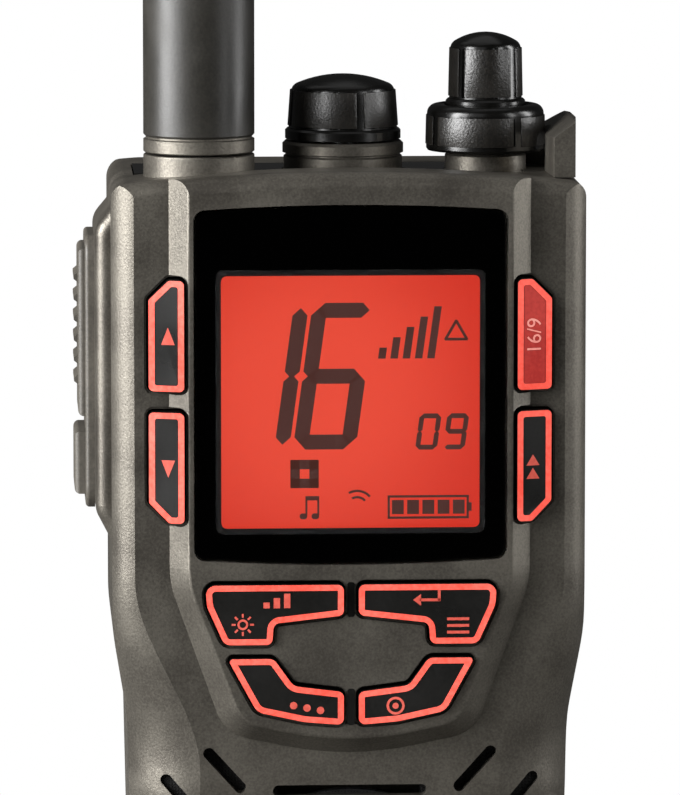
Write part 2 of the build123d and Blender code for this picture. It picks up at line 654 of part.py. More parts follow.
def side_key_outline(upper, grow=0.0):
    """A right-hand side key; its outer corner is cut off at the end away from its neighbour."""
    x0, x1 = SIDE_KEY_X - grow, SIDE_KEY_X + SIDE_KEY_WIDTH + grow
    cut = SIDE_KEY_CHAMFER + grow * (2 - 2 ** 0.5)
    r = max(0.3, 0.6 + grow)
    if upper:
        top, low = SIDE_KEY_Z + grow, SIDE_KEY_Z - SIDE_KEY_HEIGHT - grow
        corners = [(x0, low, r), (x1, low, r), (x1, top - cut, r), (x1 - cut, top, r), (x0, top, r)]
    else:
        top = SIDE_KEY_Z - SIDE_KEY_HEIGHT - SIDE_KEY_SPACING + grow
        low = SIDE_KEY_Z - 2 * SIDE_KEY_HEIGHT - SIDE_KEY_SPACING - grow
        corners = [(x0, low, r), (x1 - cut, low, r), (x1, low + cut, r), (x1, top, r), (x0, top, r)]
    return rounded_outline(corners)


def pad_key_outline(corners, grow=0.0):
    """A right-hand keypad key from its corner list."""
    outline = rounded_outline([(x, KEYPAD_Z + dz, r) for x, dz, r in corners])
    return outline if grow == 0 else offset(outline, grow, kind=Kind.ARC if grow > 0 else Kind.INTERSECTION)


KEY_OUTLINES = {
    "side_upper": lambda grow=0.0: side_key_outline(True, grow),
    "side_lower": lambda grow=0.0: side_key_outline(False, grow),
    "pad_upper": lambda grow=0.0: pad_key_outline(UPPER_KEY, grow),
    "pad_lower": lambda grow=0.0: pad_key_outline(LOWER_KEY, grow),
}


def key_holes():
    """Wells and through holes of the right-hand keys."""
    cut = None
    for name, outline in KEY_OUTLINES.items():
        floor = FIELD_Y + 0.2 if name.startswith("side") else PANEL_Y + KEY_WELL_DEPTH
        well = slab(outline(KEY_WELL), PANEL_Y - 1, floor)
        piece = well + slab(outline(KEY_GAP), PANEL_Y - 1, FIELD_IN + 1)
        cut = piece if cut is None else cut + piece
    return cut


def speaker_slots():
    """Stacked slots over the cone and slanting ones at its four corners."""
    cuts = []
    for i in range(SLOT_COUNT):
        z = SPEAKER_Z + (i - (SLOT_COUNT - 1) / 2) * SLOT_PITCH
        swell = 1 - abs(z - SPEAKER_Z) / (SLOT_PITCH * (SLOT_COUNT - 1) / 2)
        reach = SLOT_REACH + 3.0 * swell
        cuts.append(slab(Pos(0, z) * SlotOverall(2 * reach, SLOT_WIDTH), FIELD_Y - 1, FIELD_IN + 1))
    for top in (1, -1):
        for i in range(2):
            x, dz = SLOT_REACH + 6.1 + 5.4 * i, SLOT_PITCH * 3.45 - 3.6 * i
            outline = Pos(x, SPEAKER_Z + top * dz) * Rot(0, 0, top * 48) * SlotOverall(7.4, SLOT_WIDTH)
            cuts.append(both_sides(slab(outline, FIELD_Y - 3, FIELD_Y + 7.5)))
    whole = cuts[0]
    for cut in cuts[1:]:
        whole = whole + cut
    return whole


def case_bosses():
    """Screw bosses in the front housing, each tied to the nearest wall."""
    bosses = []
    y0 = PART_Y - BOSS_DEPTH
    for x, z in CASE_SCREWS:
        post = rod_y(BOSS_RADIUS, y0, PART_Y, x, z)
        if z < BAY_Z:
            web = block(x - BOSS_RADIUS, x + BOSS_RADIUS, y0, PART_Y, WALL - 0.5, z)
        else:
            wall_x = (SIDE_IN + 0.5) * (1 if x > 0 else -1)
            web = block(x, wall_x, y0, PART_Y, z - BOSS_RADIUS, z + BOSS_RADIUS)
        bosses.append(post + web - rod_y(SCREW_RADIUS, y0 + 1, PART_Y + 1, x, z))
    return bosses


def antenna_boss():
    """The round seat that the antenna screws down on."""
    post = rod_z(ANTENNA_RADIUS, DECK_IN - 1.5, ANTENNA_BOSS_Z, ANTENNA_X, ANTENNA_Y)
    return fillet(post.edges().sort_by(Axis.Z)[-1], 0.2)


def squelch_boss():
    r, z0, z1 = SQUELCH_BOSS_RADIUS, DECK_Z - PANEL_INLAY - 0.4, SQUELCH_BOSS_Z
    mid = DECK_Z + SQUELCH_BOSS_HEIGHT * 0.52
    foot = [(0, z0), (r - 0.15, z0), (r - 0.15, mid - 0.2), (r - 0.4, mid), (r - 0.4, mid + 0.15)]
    return turned(foot + [(r, mid + 0.3), (r, z1 - 0.35), (r - 0.35, z1), (0, z1)])


def volume_boss():
    post = rod_z(VOLUME_BOSS_RADIUS, DECK_Z - PANEL_INLAY - 0.4, VOLUME_BOSS_Z, VOLUME_X)
    return chamfer(post.edges().sort_by(Axis.Z)[-1], 0.3)


def front_housing():
    """Front shell with deck, bosses, panel, wells and openings."""
    shell = once(outer_block) & block(-FAR, FAR, -FAR, PART_Y, -FAR, FAR)
    shell = shell - once(cavity)
    reach = VIEW_HEIGHT / 2 + GLASS_MARGIN + HOLDER_WALL + 0.4
    pocket_outline = rounded_box_outline(LENS_HALF_WIDTH + 0.1, VIEW_Z - reach, VIEW_Z + reach, 0.5)
    pocket = slab(pocket_outline, PANEL_IN, FIELD_IN + 0.01)
    low_pocket = slab(panel_outline(0.6, DECK_Z - PANEL_TAPER_DROP + 4), PANEL_IN, FIELD_IN + 0.01)
    shell = shell + panel() - pocket - low_pocket
    shell = shell + bulge()
    # window for the side keys
    window_half = KEY_HALF_DEPTH + SIDE_FLANGE
    shell = shell - block(BULGE_X - 1, -SIDE_IN + 1, -window_half, window_half, LIGHT_LOW_Z - SIDE_FLANGE,
                          TALK_TOP_Z + SIDE_FLANGE)
    # deck: inlay recess, bosses and their bores
    inlay_x, inlay_back = HALF_WIDTH - INLAY_MARGIN, PART_Y - 0.8
    inlay = block(-inlay_x, inlay_x, INLAY_FRONT_Y, inlay_back, DECK_Z - PANEL_INLAY, DECK_Z + 10)
    shell = shell - block(-FAR, FAR, FIELD_Y + TOP_ROUND + 2.5, PART_Y + 1, DECK_Z, DECK_Z + 10)
    shell = shell - inlay + antenna_boss() + squelch_boss() + volume_boss()
    seat_x = VOLUME_X + EYELET_SEAT
    shell = shell + block(seat_x, inlay_x, INLAY_FRONT_Y, inlay_back, DECK_Z - PANEL_INLAY - 0.2, DECK_Z)
    shell = shell - rod_z(BUSH_RADIUS + FIT, DECK_IN - 2, SQUELCH_BOSS_Z + 1)
    shell = shell - rod_z(NUT_RADIUS + 0.5, SQUELCH_BOSS_Z - 2.4, SQUELCH_BOSS_Z + 1)
    shell = shell - rod_z(BUSH_RADIUS + FIT, DECK_IN - 2, VOLUME_BOSS_Z + 1, VOLUME_X)
    plug_room = JACK_RADIUS + PLUG_WALL + 1.5 * APART
    shell = shell - rod_z(plug_room, PLUG_Z - APART, ANTENNA_BOSS_Z + 1, ANTENNA_X, ANTENNA_Y)
    shell = shell - rod_z(JACK_RADIUS + FIT, DECK_IN - 3, ANTENNA_BOSS_Z, ANTENNA_X, ANTENNA_Y)
    shell = shell - rod_z(JACK_FLANGE_RADIUS + FIT, DECK_IN - 3, JACK_SEAT_Z, ANTENNA_X, ANTENNA_Y)
    # display: lens recess and view window
    shell = shell - slab(lens_outline(LENS_GAP), PANEL_Y - 1, LENS_FLOOR)
    window = rounded_box_outline(VIEW_WIDTH / 2 + VIEW_MARGIN, VIEW_Z - VIEW_HEIGHT / 2 - VIEW_MARGIN,
                                 VIEW_Z + VIEW_HEIGHT / 2 + VIEW_MARGIN, VIEW_CORNER)
    shell = shell - slab(window, PANEL_Y - 1, PANEL_IN + 1)
    # keys, speaker and microphone
    keys = key_holes()
    notch = UPPER_KEY[0][0]
    floor = PANEL_Y + KEY_WELL_DEPTH
    for low, high in ((UPPER_KEY[6][1], UPPER_KEY[0][1]), (LOWER_KEY[4][1], LOWER_KEY[5][1])):
        keys = keys + block(-notch, notch, PANEL_Y - 1, floor, KEYPAD_Z + low, KEYPAD_Z + high)
    shell = shell - keys - mirrored(keys) - speaker_slots()
    shell = shell - rod_y(0.6, FIELD_Y - 1, FIELD_IN + 1, MIC_X, MIC_Z)
    # accessory jack: recess for the cover, knuckle groove and the two mouths
    half = COVER_HALF_HEIGHT + COVER_GAP
    shell = shell - block(COVER_X, HALF_WIDTH + 1, COVER_FRONT_Y - COVER_GAP, COVER_HINGE_Y + 1.0,
                          JACK_MID_Z - half, JACK_MID_Z + half)
    for z in (SPEAKER_JACK_Z, MIC_JACK_Z):
        shell = shell - rod_x(JACK_MOUTH_RADIUS, SIDE_IN - 1, HALF_WIDTH + 1, 0, z)
    for boss in case_bosses():
        shell = shell + boss
    for x, z in BOARD_SCREWS:
        post = rod_y(STANDOFF_RADIUS, FIELD_IN - 0.6, BOARD_Y, x, z)
        shell = shell + (post - rod_y(BOARD_SCREW_RADIUS, FIELD_IN + 0.6, BOARD_Y + 1, x, z))
    for x, z in CASE_SCREWS:
        shell = shell - rod_y(SCREW_RADIUS + FIT, PART_Y - BOSS_DEPTH + 1, PART_Y + 1, x, z)
    return shell


def bay_block(grow, y_front, y_back):
    half = BAY_HALF_WIDTH + grow
    return block(-half, half, y_front, y_back, BAY_Z - grow, BAY_TOP_Z + grow)


def door_outline(grow=0.0):
    half = DOOR_HALF_WIDTH + grow
    return rounded_box_outline(half, DOOR_LOW_Z - grow, DOOR_TOP_Z + grow, DOOR_CORNER + grow)


def seam_ring():
    """The seal cord's track, in the middle of the wall at the seam."""
    outline = case_outline() & deck_limit()
    outer = slab(offset(outline, -SEAL_INSET), PART_Y, PART_Y + SEAL_SIZE)
    return outer - slab(offset(outline, -SEAL_INSET - SEAL_SIZE), PART_Y - 1, PART_Y + 2)


def rear_housing():
    """Rear shell with the battery bay moulded in one piece."""
    outer = once(outer_block)
    shell = (outer & block(-FAR, FAR, PART_Y, FAR, -FAR, DECK_Z)) - once(cavity)
    ledge = slab(door_outline(0.9), LEDGE_Y - LEDGE_THICKNESS, LEDGE_Y) & outer
    bay = bay_block(BAY_WALL, BAY_FRONT_Y - BAY_WALL, LEDGE_Y)
    shell = shell + ledge + bay
    shell = shell - slab(door_outline(DOOR_GAP), LEDGE_Y, BACK_Y + 1)
    for x, z in DOOR_SCREWS:
        post = rod_y(BOSS_RADIUS, LEDGE_Y - 7, LEDGE_Y - 0.5, x, z)
        shell = shell + post
    shell = shell - bay_block(0, BAY_FRONT_Y, BACK_Y + 1)
    for x, z in DOOR_SCREWS:
        shell = shell - rod_y(SCREW_RADIUS + SCREW_CLEARANCE, LEDGE_Y - 5.6, LEDGE_Y + 1, x, z)
    for x, z in CASE_SCREWS:
        shell = shell + (rod_y(BOSS_RADIUS, PART_Y, BACK_IN + 0.5, x, z) & outer)
    head_seat = BACK_Y - SCREW_HEAD_HEIGHT - CASE_SCREW_SINK
    for x, z in CASE_SCREWS:
        shell = shell - rod_y(SCREW_RADIUS + SCREW_CLEARANCE, PART_Y - 1, BACK_Y + 1, x, z)
        shell = shell - rod_y(SCREW_HEAD_RADIUS + SCREW_CLEARANCE, head_seat, BACK_Y + 1, x, z)
    for side in (-1, 1):
        x = side * BRACKET_SCREW_X
        shell = shell + rod_y(BOSS_RADIUS, BACK_IN - 4, BACK_IN + 0.5, x, BRACKET_SCREW_Z)
        shell = shell - rod_y(SCREW_RADIUS + FIT, BACK_IN - 3.4, BACK_Y + 1, x, BRACKET_SCREW_Z)
        shell = shell - rod_z(CHARGE_RADIUS + FIT, -1, WALL + 1, side * CHARGE_X, CHARGE_Y)
    return shell - seam_ring()


# ================================================================ display stack
def display_lens():
    y0 = PANEL_Y + LENS_SINK
    lens = slab(lens_outline(0), y0, y0 + LENS_THICKNESS)
    return chamfer(lens.faces().sort_by(Axis.Y)[0].edges(), 0.25)


def glass_outline(grow=0.0):
    half = VIEW_WIDTH / 2 + GLASS_MARGIN + grow
    tall = VIEW_HEIGHT / 2 + GLASS_MARGIN + grow
    return rounded_box_outline(half, VIEW_Z - tall, VIEW_Z + tall, 0.6)


def lcd_glass():
    return slab(glass_outline(), GLASS_Y, GUIDE_Y)


def backlight():
    """White moulding that holds the glass, with the light guide as its floor."""
    body = slab(glass_outline(HOLDER_WALL), GLASS_Y, BOARD_Y)
    return body - slab(glass_outline(FIT / 3), GLASS_Y - 1, GUIDE_Y)


# ================================================================ boards
def main_board():
    top = VIEW_Z + VIEW_HEIGHT / 2 + GLASS_MARGIN - 1.4
    low = BOARD_SCREWS[1][1] - 2.6
    wide_low = VIEW_Z - VIEW_HEIGHT / 2 - GLASS_MARGIN
    tab_top = BOARD_SCREWS[0][1] + 2.0
    y0, y1 = BOARD_Y, BOARD_BACK_Y
    board = block(-BOARD_HALF_WIDTH, BOARD_HALF_WIDTH, y0, y1, wide_low, top)
    board = board + block(-BOARD_LOW_HALF_WIDTH, BOARD_LOW_HALF_WIDTH, y0, y1, low, wide_low)
    board = board + block(-BOARD_TAB_HALF_WIDTH, BOARD_TAB_HALF_WIDTH, y0, y1, top, tab_top)
    for x, z in BOARD_SCREWS:
        board = board - rod_y(BOARD_SCREW_RADIUS + FIT, y0 - 1, y1 + 1, x, z)
    return board


def board_screws():
    y_head, length = BOARD_BACK_Y + SCREW_HEAD_HEIGHT, BOARD_THICKNESS + 1.8
    return group([screw(x, z, y_head, length, BOARD_SCREW_RADIUS - 0.02) for x, z in BOARD_SCREWS])


def shield_cans():
    """Thin tin lids over the transmitter, the receiver and the processor."""
    left = (-CAN_REACH, -CAN_GAP, CAN_TOP - TRANSMITTER_CAN_HEIGHT, CAN_TOP)
    right = (0, CAN_REACH, CAN_TOP - RECEIVER_CAN_HEIGHT, CAN_TOP)
    low_top = CAN_TOP - TRANSMITTER_CAN_HEIGHT - CAN_GAP
    low = (-PROCESSOR_CAN_HALF_WIDTH, PROCESSOR_CAN_HALF_WIDTH, low_top - PROCESSOR_CAN_HEIGHT, low_top)
    cans = []
    for x0, x1, dz0, dz1 in (left, right, low):
        z0, z1 = VIEW_Z + dz0, VIEW_Z + dz1
        can = block(x0, x1, BOARD_BACK_Y, CAN_BACK_Y, z0, z1)
        can = fillet(can.faces().sort_by(Axis.Y)[-1].edges(), 0.4)
        t = CAN_SHEET
        cans.append(can - block(x0 + t, x1 - t, BOARD_BACK_Y - 1, CAN_BACK_Y - t, z0 + t, z1 - t))
    return group(cans)


def chassis_bounds():
    """x and z limits of the die-cast chassis, between the bay and the top controls."""
    return -BOARD_HALF_WIDTH + 1.6, VOLUME_X - 5.3, BAY_TOP_Z + BAY_WALL + 7.0, DECK_IN - CONTROL_HEIGHT - 9.5


def chassis():
    """Die-cast tray on the shield cans that spreads their heat."""
    x0, x1, z0, z1 = chassis_bounds()
    wall = CHASSIS_PLATE
    tray = block(x0, x1, CAN_BACK_Y, CHASSIS_BACK_Y, z0, z1)
    hollow = block(x0 + wall, x1 - wall, CAN_BACK_Y + wall, CHASSIS_BACK_Y + 1, z0 + wall, z1 - wall)
    for z in (z0 + CHASSIS_RIB_PITCH, z0 + 2 * CHASSIS_RIB_PITCH):
        hollow = hollow - block(x0, x1, CAN_BACK_Y + 1, CHASSIS_BACK_Y - 3, z, z + 1.2)
    return tray - hollow


def key_mat():
    """Silicone web round the keys, in one U-shaped sheet over the board."""
    y0, y1 = MAT_Y, MAT_Y + MAT_THICKNESS
    holder_x = VIEW_WIDTH / 2 + GLASS_MARGIN + HOLDER_WALL + 0.3
    outer_x = SIDE_KEY_X + SIDE_KEY_WIDTH + 0.9
    holder_low = VIEW_Z - VIEW_HEIGHT / 2 - GLASS_MARGIN - HOLDER_WALL - 0.3
    low = KEYPAD_Z + LOWER_KEY[4][1] - 0.9
    side_low = SIDE_KEY_Z - 2 * SIDE_KEY_HEIGHT - SIDE_KEY_SPACING - 1.5
    web = block(holder_x, outer_x, y0, y1, side_low, SIDE_KEY_Z + 0.9)
    web = both_sides(web) + block(-BOARD_LOW_HALF_WIDTH, BOARD_LOW_HALF_WIDTH, y0, y1, low, holder_low)
    link = block(holder_x, outer_x - 3.2, y0, y1, holder_low - 4, side_low + 0.5)
    web = web + both_sides(link)
    for outline in KEY_OUTLINES.values():
        hole = slab(outline(KEY_GAP), y0 - 1, y1 + 1)
        web = web - both_sides(hole)
    return web


def stem_place(name):
    """(x, z) of a right-hand key's stem and of the dome under it."""
    if name == "side_upper":
        return SIDE_KEY_X + SIDE_KEY_WIDTH / 2, SIDE_KEY_Z - SIDE_KEY_HEIGHT / 2
    if name == "side_lower":
        return SIDE_KEY_X + SIDE_KEY_WIDTH / 2, SIDE_KEY_Z - 1.5 * SIDE_KEY_HEIGHT - SIDE_KEY_SPACING
    x, dz = UPPER_STEM if name == "pad_upper" else LOWER_STEM
    return x, KEYPAD_Z + dz


def key_domes():
    domes = []
    for name in KEY_OUTLINES:
        x, z = stem_place(name)
        dome = rod_y(DOME_RADIUS, BOARD_Y - DOME_HEIGHT, BOARD_Y, x, z)
        dome = fillet(dome.edges().sort_by(Axis.Y)[0], DOME_HEIGHT * 0.8)
        domes += [dome, mirrored(dome)]
    return group(domes)


# ================================================================ keys
def slope_wedge(sink):
    """Everything in front of the side keys' slanting faces, sunk by sink."""
    x0, x1 = SIDE_KEY_X - 2, SIDE_KEY_X + SIDE_KEY_WIDTH + 2
    y_out = PANEL_Y - 5
    y0, y1 = [PANEL_Y - 0.1 + (x - SIDE_KEY_X) * SIDE_KEY_SLOPE + sink for x in (x0, x1)]
    face = make_face(Polyline((x0, y0), (x1, y1), (x1, y_out), (x0, y_out), close=True))
    return extrude(Pos(0, 0, SIDE_KEY_Z - 3 * SIDE_KEY_HEIGHT) * face, amount=4 * SIDE_KEY_HEIGHT)


def key(name):
    """A right-hand key: translucent body with a sunk face, a flange that keeps it in, and a stem."""
    side = name.startswith("side")
    outline = KEY_OUTLINES[name]
    wall_in = FIELD_IN if side else PANEL_IN
    body = slab(outline(), PANEL_Y - KEY_PROUD, STEM_TIP_Y - 0.5)
    flange_y = wall_in + APART
    body = body + slab(outline(KEY_FLANGE), flange_y, flange_y + KEY_FLANGE_THICKNESS)
    x, z = stem_place(name)
    body = body + rod_y(STEM_RADIUS, STEM_TIP_Y - 0.6, STEM_TIP_Y, x, z)
    if side:
        body = body - slope_wedge(0)
        return body - (slab(outline(-KEY_RIM), PANEL_Y - 4, FIELD_Y) & slope_wedge(KEY_FACE_SINK))
    return body - slab(outline(-KEY_RIM), PANEL_Y - KEY_PROUD - 1, PANEL_Y - KEY_PROUD + KEY_FACE_SINK)


# ================================================================ speaker and microphone
def speaker_frame():
    y0 = FIELD_IN + 0.35
    y1 = y0 + SPEAKER_DEPTH
    r = SPEAKER_RADIUS
    basket = rod_y(r, y0, y0 + 1.2, 0, SPEAKER_Z) + rod_y(r - 3, y0 + 1.2, y0 + 3.0, 0, SPEAKER_Z)
    basket = basket + rod_y(MAGNET_RADIUS, y0 + 3.0, y1, 0, SPEAKER_Z)
    basket = basket - rod_y(r - 1.8, y0 - 1, y0 + 1.0, 0, SPEAKER_Z)
    return basket - rod_y(MAGNET_RADIUS - 3, y0, y1 - 1, 0, SPEAKER_Z)


def speaker_cone():
    """A shallow paper cone with its centre cap."""
    y0 = FIELD_IN + 0.35
    r = SPEAKER_RADIUS - 2.0
    corners = [(0, 0.25), (4.5, 0.25), (r, 0.0), (r, 0.35), (5.0, 0.75), (0, 0.75)]
    face = make_face(Polyline(*corners, close=True))
    cone = revolve(Plane.XZ * face, Axis.Z)
    return Pos(0, y0 + 0.1, SPEAKER_Z) * Rot(-90, 0, 0) * cone


def speaker_membrane():
    """Waterproof film between the slots and the cone."""
    return rod_y(SPEAKER_RADIUS, FIELD_IN + 0.02, FIELD_IN + 0.3, 0, SPEAKER_Z)


def microphone():
    capsule = rod_y(MIC_RADIUS, FIELD_IN + 0.1, FIELD_IN + 2.6, MIC_X, MIC_Z)
    return capsule - rod_y(0.5, FIELD_IN - 1, FIELD_IN + 0.8, MIC_X, MIC_Z)


# ================================================================ battery
def cell_places():
    """(x, y, positive end up) of the five cells, three behind two."""
    rear = [(i * CELL_PITCH, REAR_ROW_Y, i != 0) for i in (-1, 0, 1)]
    front = [(i * CELL_PITCH / 2, FRONT_ROW_Y, i < 0) for i in (-1, 1)]
    return rear + front


def cell(x, y, up):
    z0 = BAY_Z + (SPRING_HEIGHT if up else PLATE_THICKNESS)
    can_length = CELL_LENGTH - NUB_HEIGHT
    can = rod_z(CELL_RADIUS, 0, can_length)
    can = fillet(can.edges().sort_by(Axis.Z)[-1], 0.6)
    body = can + rod_z(NUB_RADIUS, can_length, CELL_LENGTH)
    if not up:
        body = Pos(0, 0, CELL_LENGTH) * Rot(180, 0, 0) * body
    return Pos(x, y, z0) * body


def battery_contacts():
    """Coil springs at the negative ends and plates at the positive ones."""
    contacts = []
    wire = 0.35
    rise = SPRING_HEIGHT - 2 * wire - 0.06
    for x, y, up in cell_places():
        z0 = (BAY_Z if up else BAY_TOP_Z - SPRING_HEIGHT) + wire + 0.03
        path = Helix(pitch=rise / 2, height=rise, radius=3.0)
        coil = sweep(Plane(origin=path @ 0, z_dir=path % 0) * Circle(wire), path=path)
        contacts.append(Pos(x, y, z0) * coil)
        z0 = BAY_TOP_Z - PLATE_THICKNESS if up else BAY_Z
        contacts.append(block(x - 4, x + 4, y - 4, y + 4, z0, z0 + PLATE_THICKNESS))
    return group(contacts)


def battery_door():
    plate = slab(door_outline(), DOOR_Y, BACK_Y) & once(outer_block)
    for i in range(4):
        z = DOOR_TOP_Z - 7.5 - i * 2.2
        plate = plate - block(-10, 10, BACK_Y - 0.5, BACK_Y + 1, z - 0.5, z + 0.5)
    for x, z in DOOR_SCREWS:
        plate = plate - rod_y(SCREW_RADIUS + FIT, DOOR_Y - 1, BACK_Y + 1, x, z)
        plate = plate - rod_y(SCREW_HEAD_RADIUS + FIT, BACK_Y - SCREW_HEAD_HEIGHT, BACK_Y + 1, x, z)
    return plate


def door_gasket():
    """Foam ring on the ledge. The closed door lies just over it."""
    ring = slab(door_outline(-0.4), LEDGE_Y, LEDGE_Y + GASKET_THICKNESS)
    ring = ring - bay_block(0.3, LEDGE_Y - 1, DOOR_Y + 1)
    for x, z in DOOR_SCREWS:
        ring = ring - rod_y(SCREW_RADIUS + SCREW_CLEARANCE, LEDGE_Y - 1, DOOR_Y + 1, x, z)
    return ring


def door_screws():
    return group([screw(x, z, BACK_Y, DOOR_THICKNESS + GASKET_THICKNESS + 3.0) for x, z in DOOR_SCREWS])


# ================================================================ seams and screws
def case_gasket():
    return seam_ring()


def case_screws():
    length = BACK_Y - PART_Y + BOSS_DEPTH - 3.5
    return group([screw(x, z, BACK_Y - CASE_SCREW_SINK, length) for x, z in CASE_SCREWS])


# ================================================================ top controls
def eyelet_footprint():
    """Plan of the strap eyelet: a wall from the front corner that wraps the volume control's side."""
    x_out = HALF_WIDTH - EYELET_INSET
    ring = Circle(EYELET_RADIUS + EYELET_WALL) - Circle(EYELET_RADIUS)
    sector = make_face(Polyline((0, 0), (30, 0), (30, 40), (10, 40), close=True))
    corners = [(x_out - 3.4, -EYELET_FRONT), (x_out - 0.7, -EYELET_FRONT), (x_out, -6), (x_out, 1),
               (x_out - 4, 1)]
    front = make_face(Polyline(*corners, close=True))
    plan = (front - Pos(VOLUME_X, 0) * Circle(EYELET_RADIUS)) + Pos(VOLUME_X, 0) * (ring & sector)
    return plan & Rectangle(2 * x_out, FAR)


def top_panel():
    """Black inlay on the deck, cut out round the bosses."""
    z0, z1 = DECK_Z - PANEL_INLAY, DECK_Z
    reach = HALF_WIDTH - INLAY_MARGIN - FIT
    plate = block(-reach, reach, INLAY_FRONT_Y + FIT, PART_Y - 0.8 - FIT, z0, z1)
    plate = plate - rod_z(ANTENNA_RADIUS + FIT, z0 - 1, z1 + 1, ANTENNA_X, ANTENNA_Y)
    plate = plate - rod_z(SQUELCH_BOSS_RADIUS + FIT, z0 - 1, z1 + 1)
    plate = plate - rod_z(VOLUME_BOSS_RADIUS + FIT, z0 - 1, z1 + 1, VOLUME_X)
    return plate - block(VOLUME_X + EYELET_SEAT - FIT, HALF_WIDTH, INLAY_FRONT_Y - 4, PART_Y, z0 - 1, z1 + 1)


def strap_eyelet():
    """Curved guard beside the volume control, with a slot for the wrist strap."""
    z0, z1 = DECK_Z, DECK_Z + EYELET_HEIGHT
    wall = extrude(Pos(0, 0, z0) * eyelet_footprint(), amount=z1 - z0)
    x_out = HALF_WIDTH - EYELET_INSET
    fall = (x_out - 0.6) * EYELET_SLOPE
    corners = [(x_out - 0.6, z1), (x_out + 3, z1 + 2.6), (0, z1 + 20), (0, z1 - fall)]
    slope = make_face(Plane.XZ * Polyline(*corners, close=True))
    wall = wall - Pos(0, 40, 0) * extrude(slope, amount=80)
    y0, y1 = 0.2 - SLOT_DEPTH, 0.2
    v0, v1 = z0 + SLOT_SILL, z0 + SLOT_SILL + SLOT_HEIGHT
    slot = rounded_outline([(y0, v0, 1.0), (y1, v0, 1.0), (y1, v1, 1.0), (y0, v1, 1.0)])
    return wall - extrude(Plane(origin=(x_out - 6, 0, 0), x_dir=(0, 1, 0), z_dir=(1, 0, 0)) * slot, amount=12)


def hex_nut(x, z0, bore):
    body = extrude(Pos(x, 0, z0) * RegularPolygon(NUT_RADIUS, 6), amount=NUT_HEIGHT)
    return body - rod_z(bore, z0 - 1, z0 + NUT_HEIGHT + 1, x)


def control_nuts():
    bore = BUSH_RADIUS + 0.02
    return group([hex_nut(0, SQUELCH_BOSS_Z - 2.4, bore), hex_nut(VOLUME_X, VOLUME_BOSS_Z, bore)])


def squelch_control():
    """Potentiometer under the deck with its threaded bush."""
    w, z1 = CONTROL_HALF_WIDTH, DECK_IN
    body = block(-w, w, -w, w, z1 - CONTROL_HEIGHT, z1)
    body = body + rod_z(BUSH_RADIUS, z1, SQUELCH_BOSS_Z - 0.6)
    return body - rod_z(SQUELCH_SHAFT_RADIUS + SHAFT_CLEARANCE, z1 - CONTROL_HEIGHT + 1.2, SQUELCH_BOSS_Z + 1)


def volume_control():
    """Two controls in one body, driven by a tube shaft and a rod inside it."""
    w, z1 = CONTROL_HALF_WIDTH, DECK_IN
    body = block(VOLUME_X - w, VOLUME_X + w, -w, w, z1 - CONTROL_HEIGHT - 3, z1)
    body = body + rod_z(BUSH_RADIUS, z1, VOLUME_BOSS_Z + NUT_HEIGHT, VOLUME_X)
    z2, z3 = z1 - CONTROL_HEIGHT, VOLUME_BOSS_Z + 5
    body = body - rod_z(TUBE_RADIUS + SHAFT_CLEARANCE, z2 + 2, z3, VOLUME_X)
    return body - rod_z(INNER_SHAFT_RADIUS + SHAFT_CLEARANCE, z2 - 1, z3, VOLUME_X)


def fluted_knob(radius, z0, z1, flutes, flute_radius, x=0.0, skirt=1.3):
    """A domed knob whose gripping band is broken by upright flutes."""
    top = radius * 0.9
    profile = [(0, z0), (radius + 0.1, z0), (radius + 0.1, z0 + skirt - 0.25), (radius - 0.15, z0 + skirt),
               (radius - 0.35, z0 + skirt + 0.1), (top, z1 - 1.5)]
    outline = Polyline(*profile)
    dome = cap_arc(top, z1 - 1.5, z1)
    closing = Line((0, z1), (0, z0))
    half = make_face([*outline.edges(), dome, closing])
    half = fillet(half.vertices().sort_by_distance((top, z1 - 1.5))[0], KNOB_ROUND)
    knob = revolve(Plane.XZ * half, Axis.Z)
    for i in range(flutes):
        angle = radians(i * 360 / flutes + 180 / flutes)
        reach = radius - 0.35 + flute_radius * 0.3
        flute = rod_z(flute_radius, z0 + skirt + 0.25, z1 - 1.9, reach * cos(angle), reach * sin(angle))
        knob = knob - flute
    return Pos(x, 0, 0) * knob


def squelch_knob():
    z0 = SQUELCH_BOSS_Z + KNOB_GAP
    z1 = z0 + SQUELCH_HEIGHT
    knob = fluted_knob(SQUELCH_RADIUS, z0, z1, 9, 0.9)
    hub = rod_z(SQUELCH_SHAFT_RADIUS + 1.4, z0 + 0.3, z0 + 4)
    knob = knob - (rod_z(SQUELCH_RADIUS - 1.6, z0 - 1, z0 + 3.2) - hub)
    return knob - rod_z(SQUELCH_SHAFT_RADIUS, z0 - 1, z1 - 2)


def squelch_shaft():
    z0 = DECK_IN - CONTROL_HEIGHT + 1.5
    return rod_z(SQUELCH_SHAFT_RADIUS, z0, SQUELCH_BOSS_Z + KNOB_GAP + SQUELCH_HEIGHT - 2)


def channel_ring():
    """Outer ring of the right-hand control."""
    r, z0, z1 = RING_RADIUS, RING_Z, RING_TOP_Z
    dish = VOLUME_RADIUS + RING_LAND
    ring = turned([(TUBE_RADIUS, z0), (r - 0.2, z0), (r, z0 + 0.3), (r - 0.15, z1),
                   (dish + 0.05, z1), (dish - 0.15, z1 - 0.9), (TUBE_RADIUS, z1 - 0.9)], VOLUME_X)
    ring = fillet(ring.edges().group_by(Axis.Z)[-1].sort_by(SortBy.RADIUS)[-1], RING_ROUND)
    hollow = rod_z(r - 1.5, z0 - 1, z0 + 2.2, VOLUME_X)
    for i in range(16):
        angle = radians(i * 22.5)
        reach = r + 0.42
        ring = ring - rod_z(0.7, z0 + 0.9, z1 - 1.5, VOLUME_X + reach * cos(angle), reach * sin(angle))
    return ring - hollow


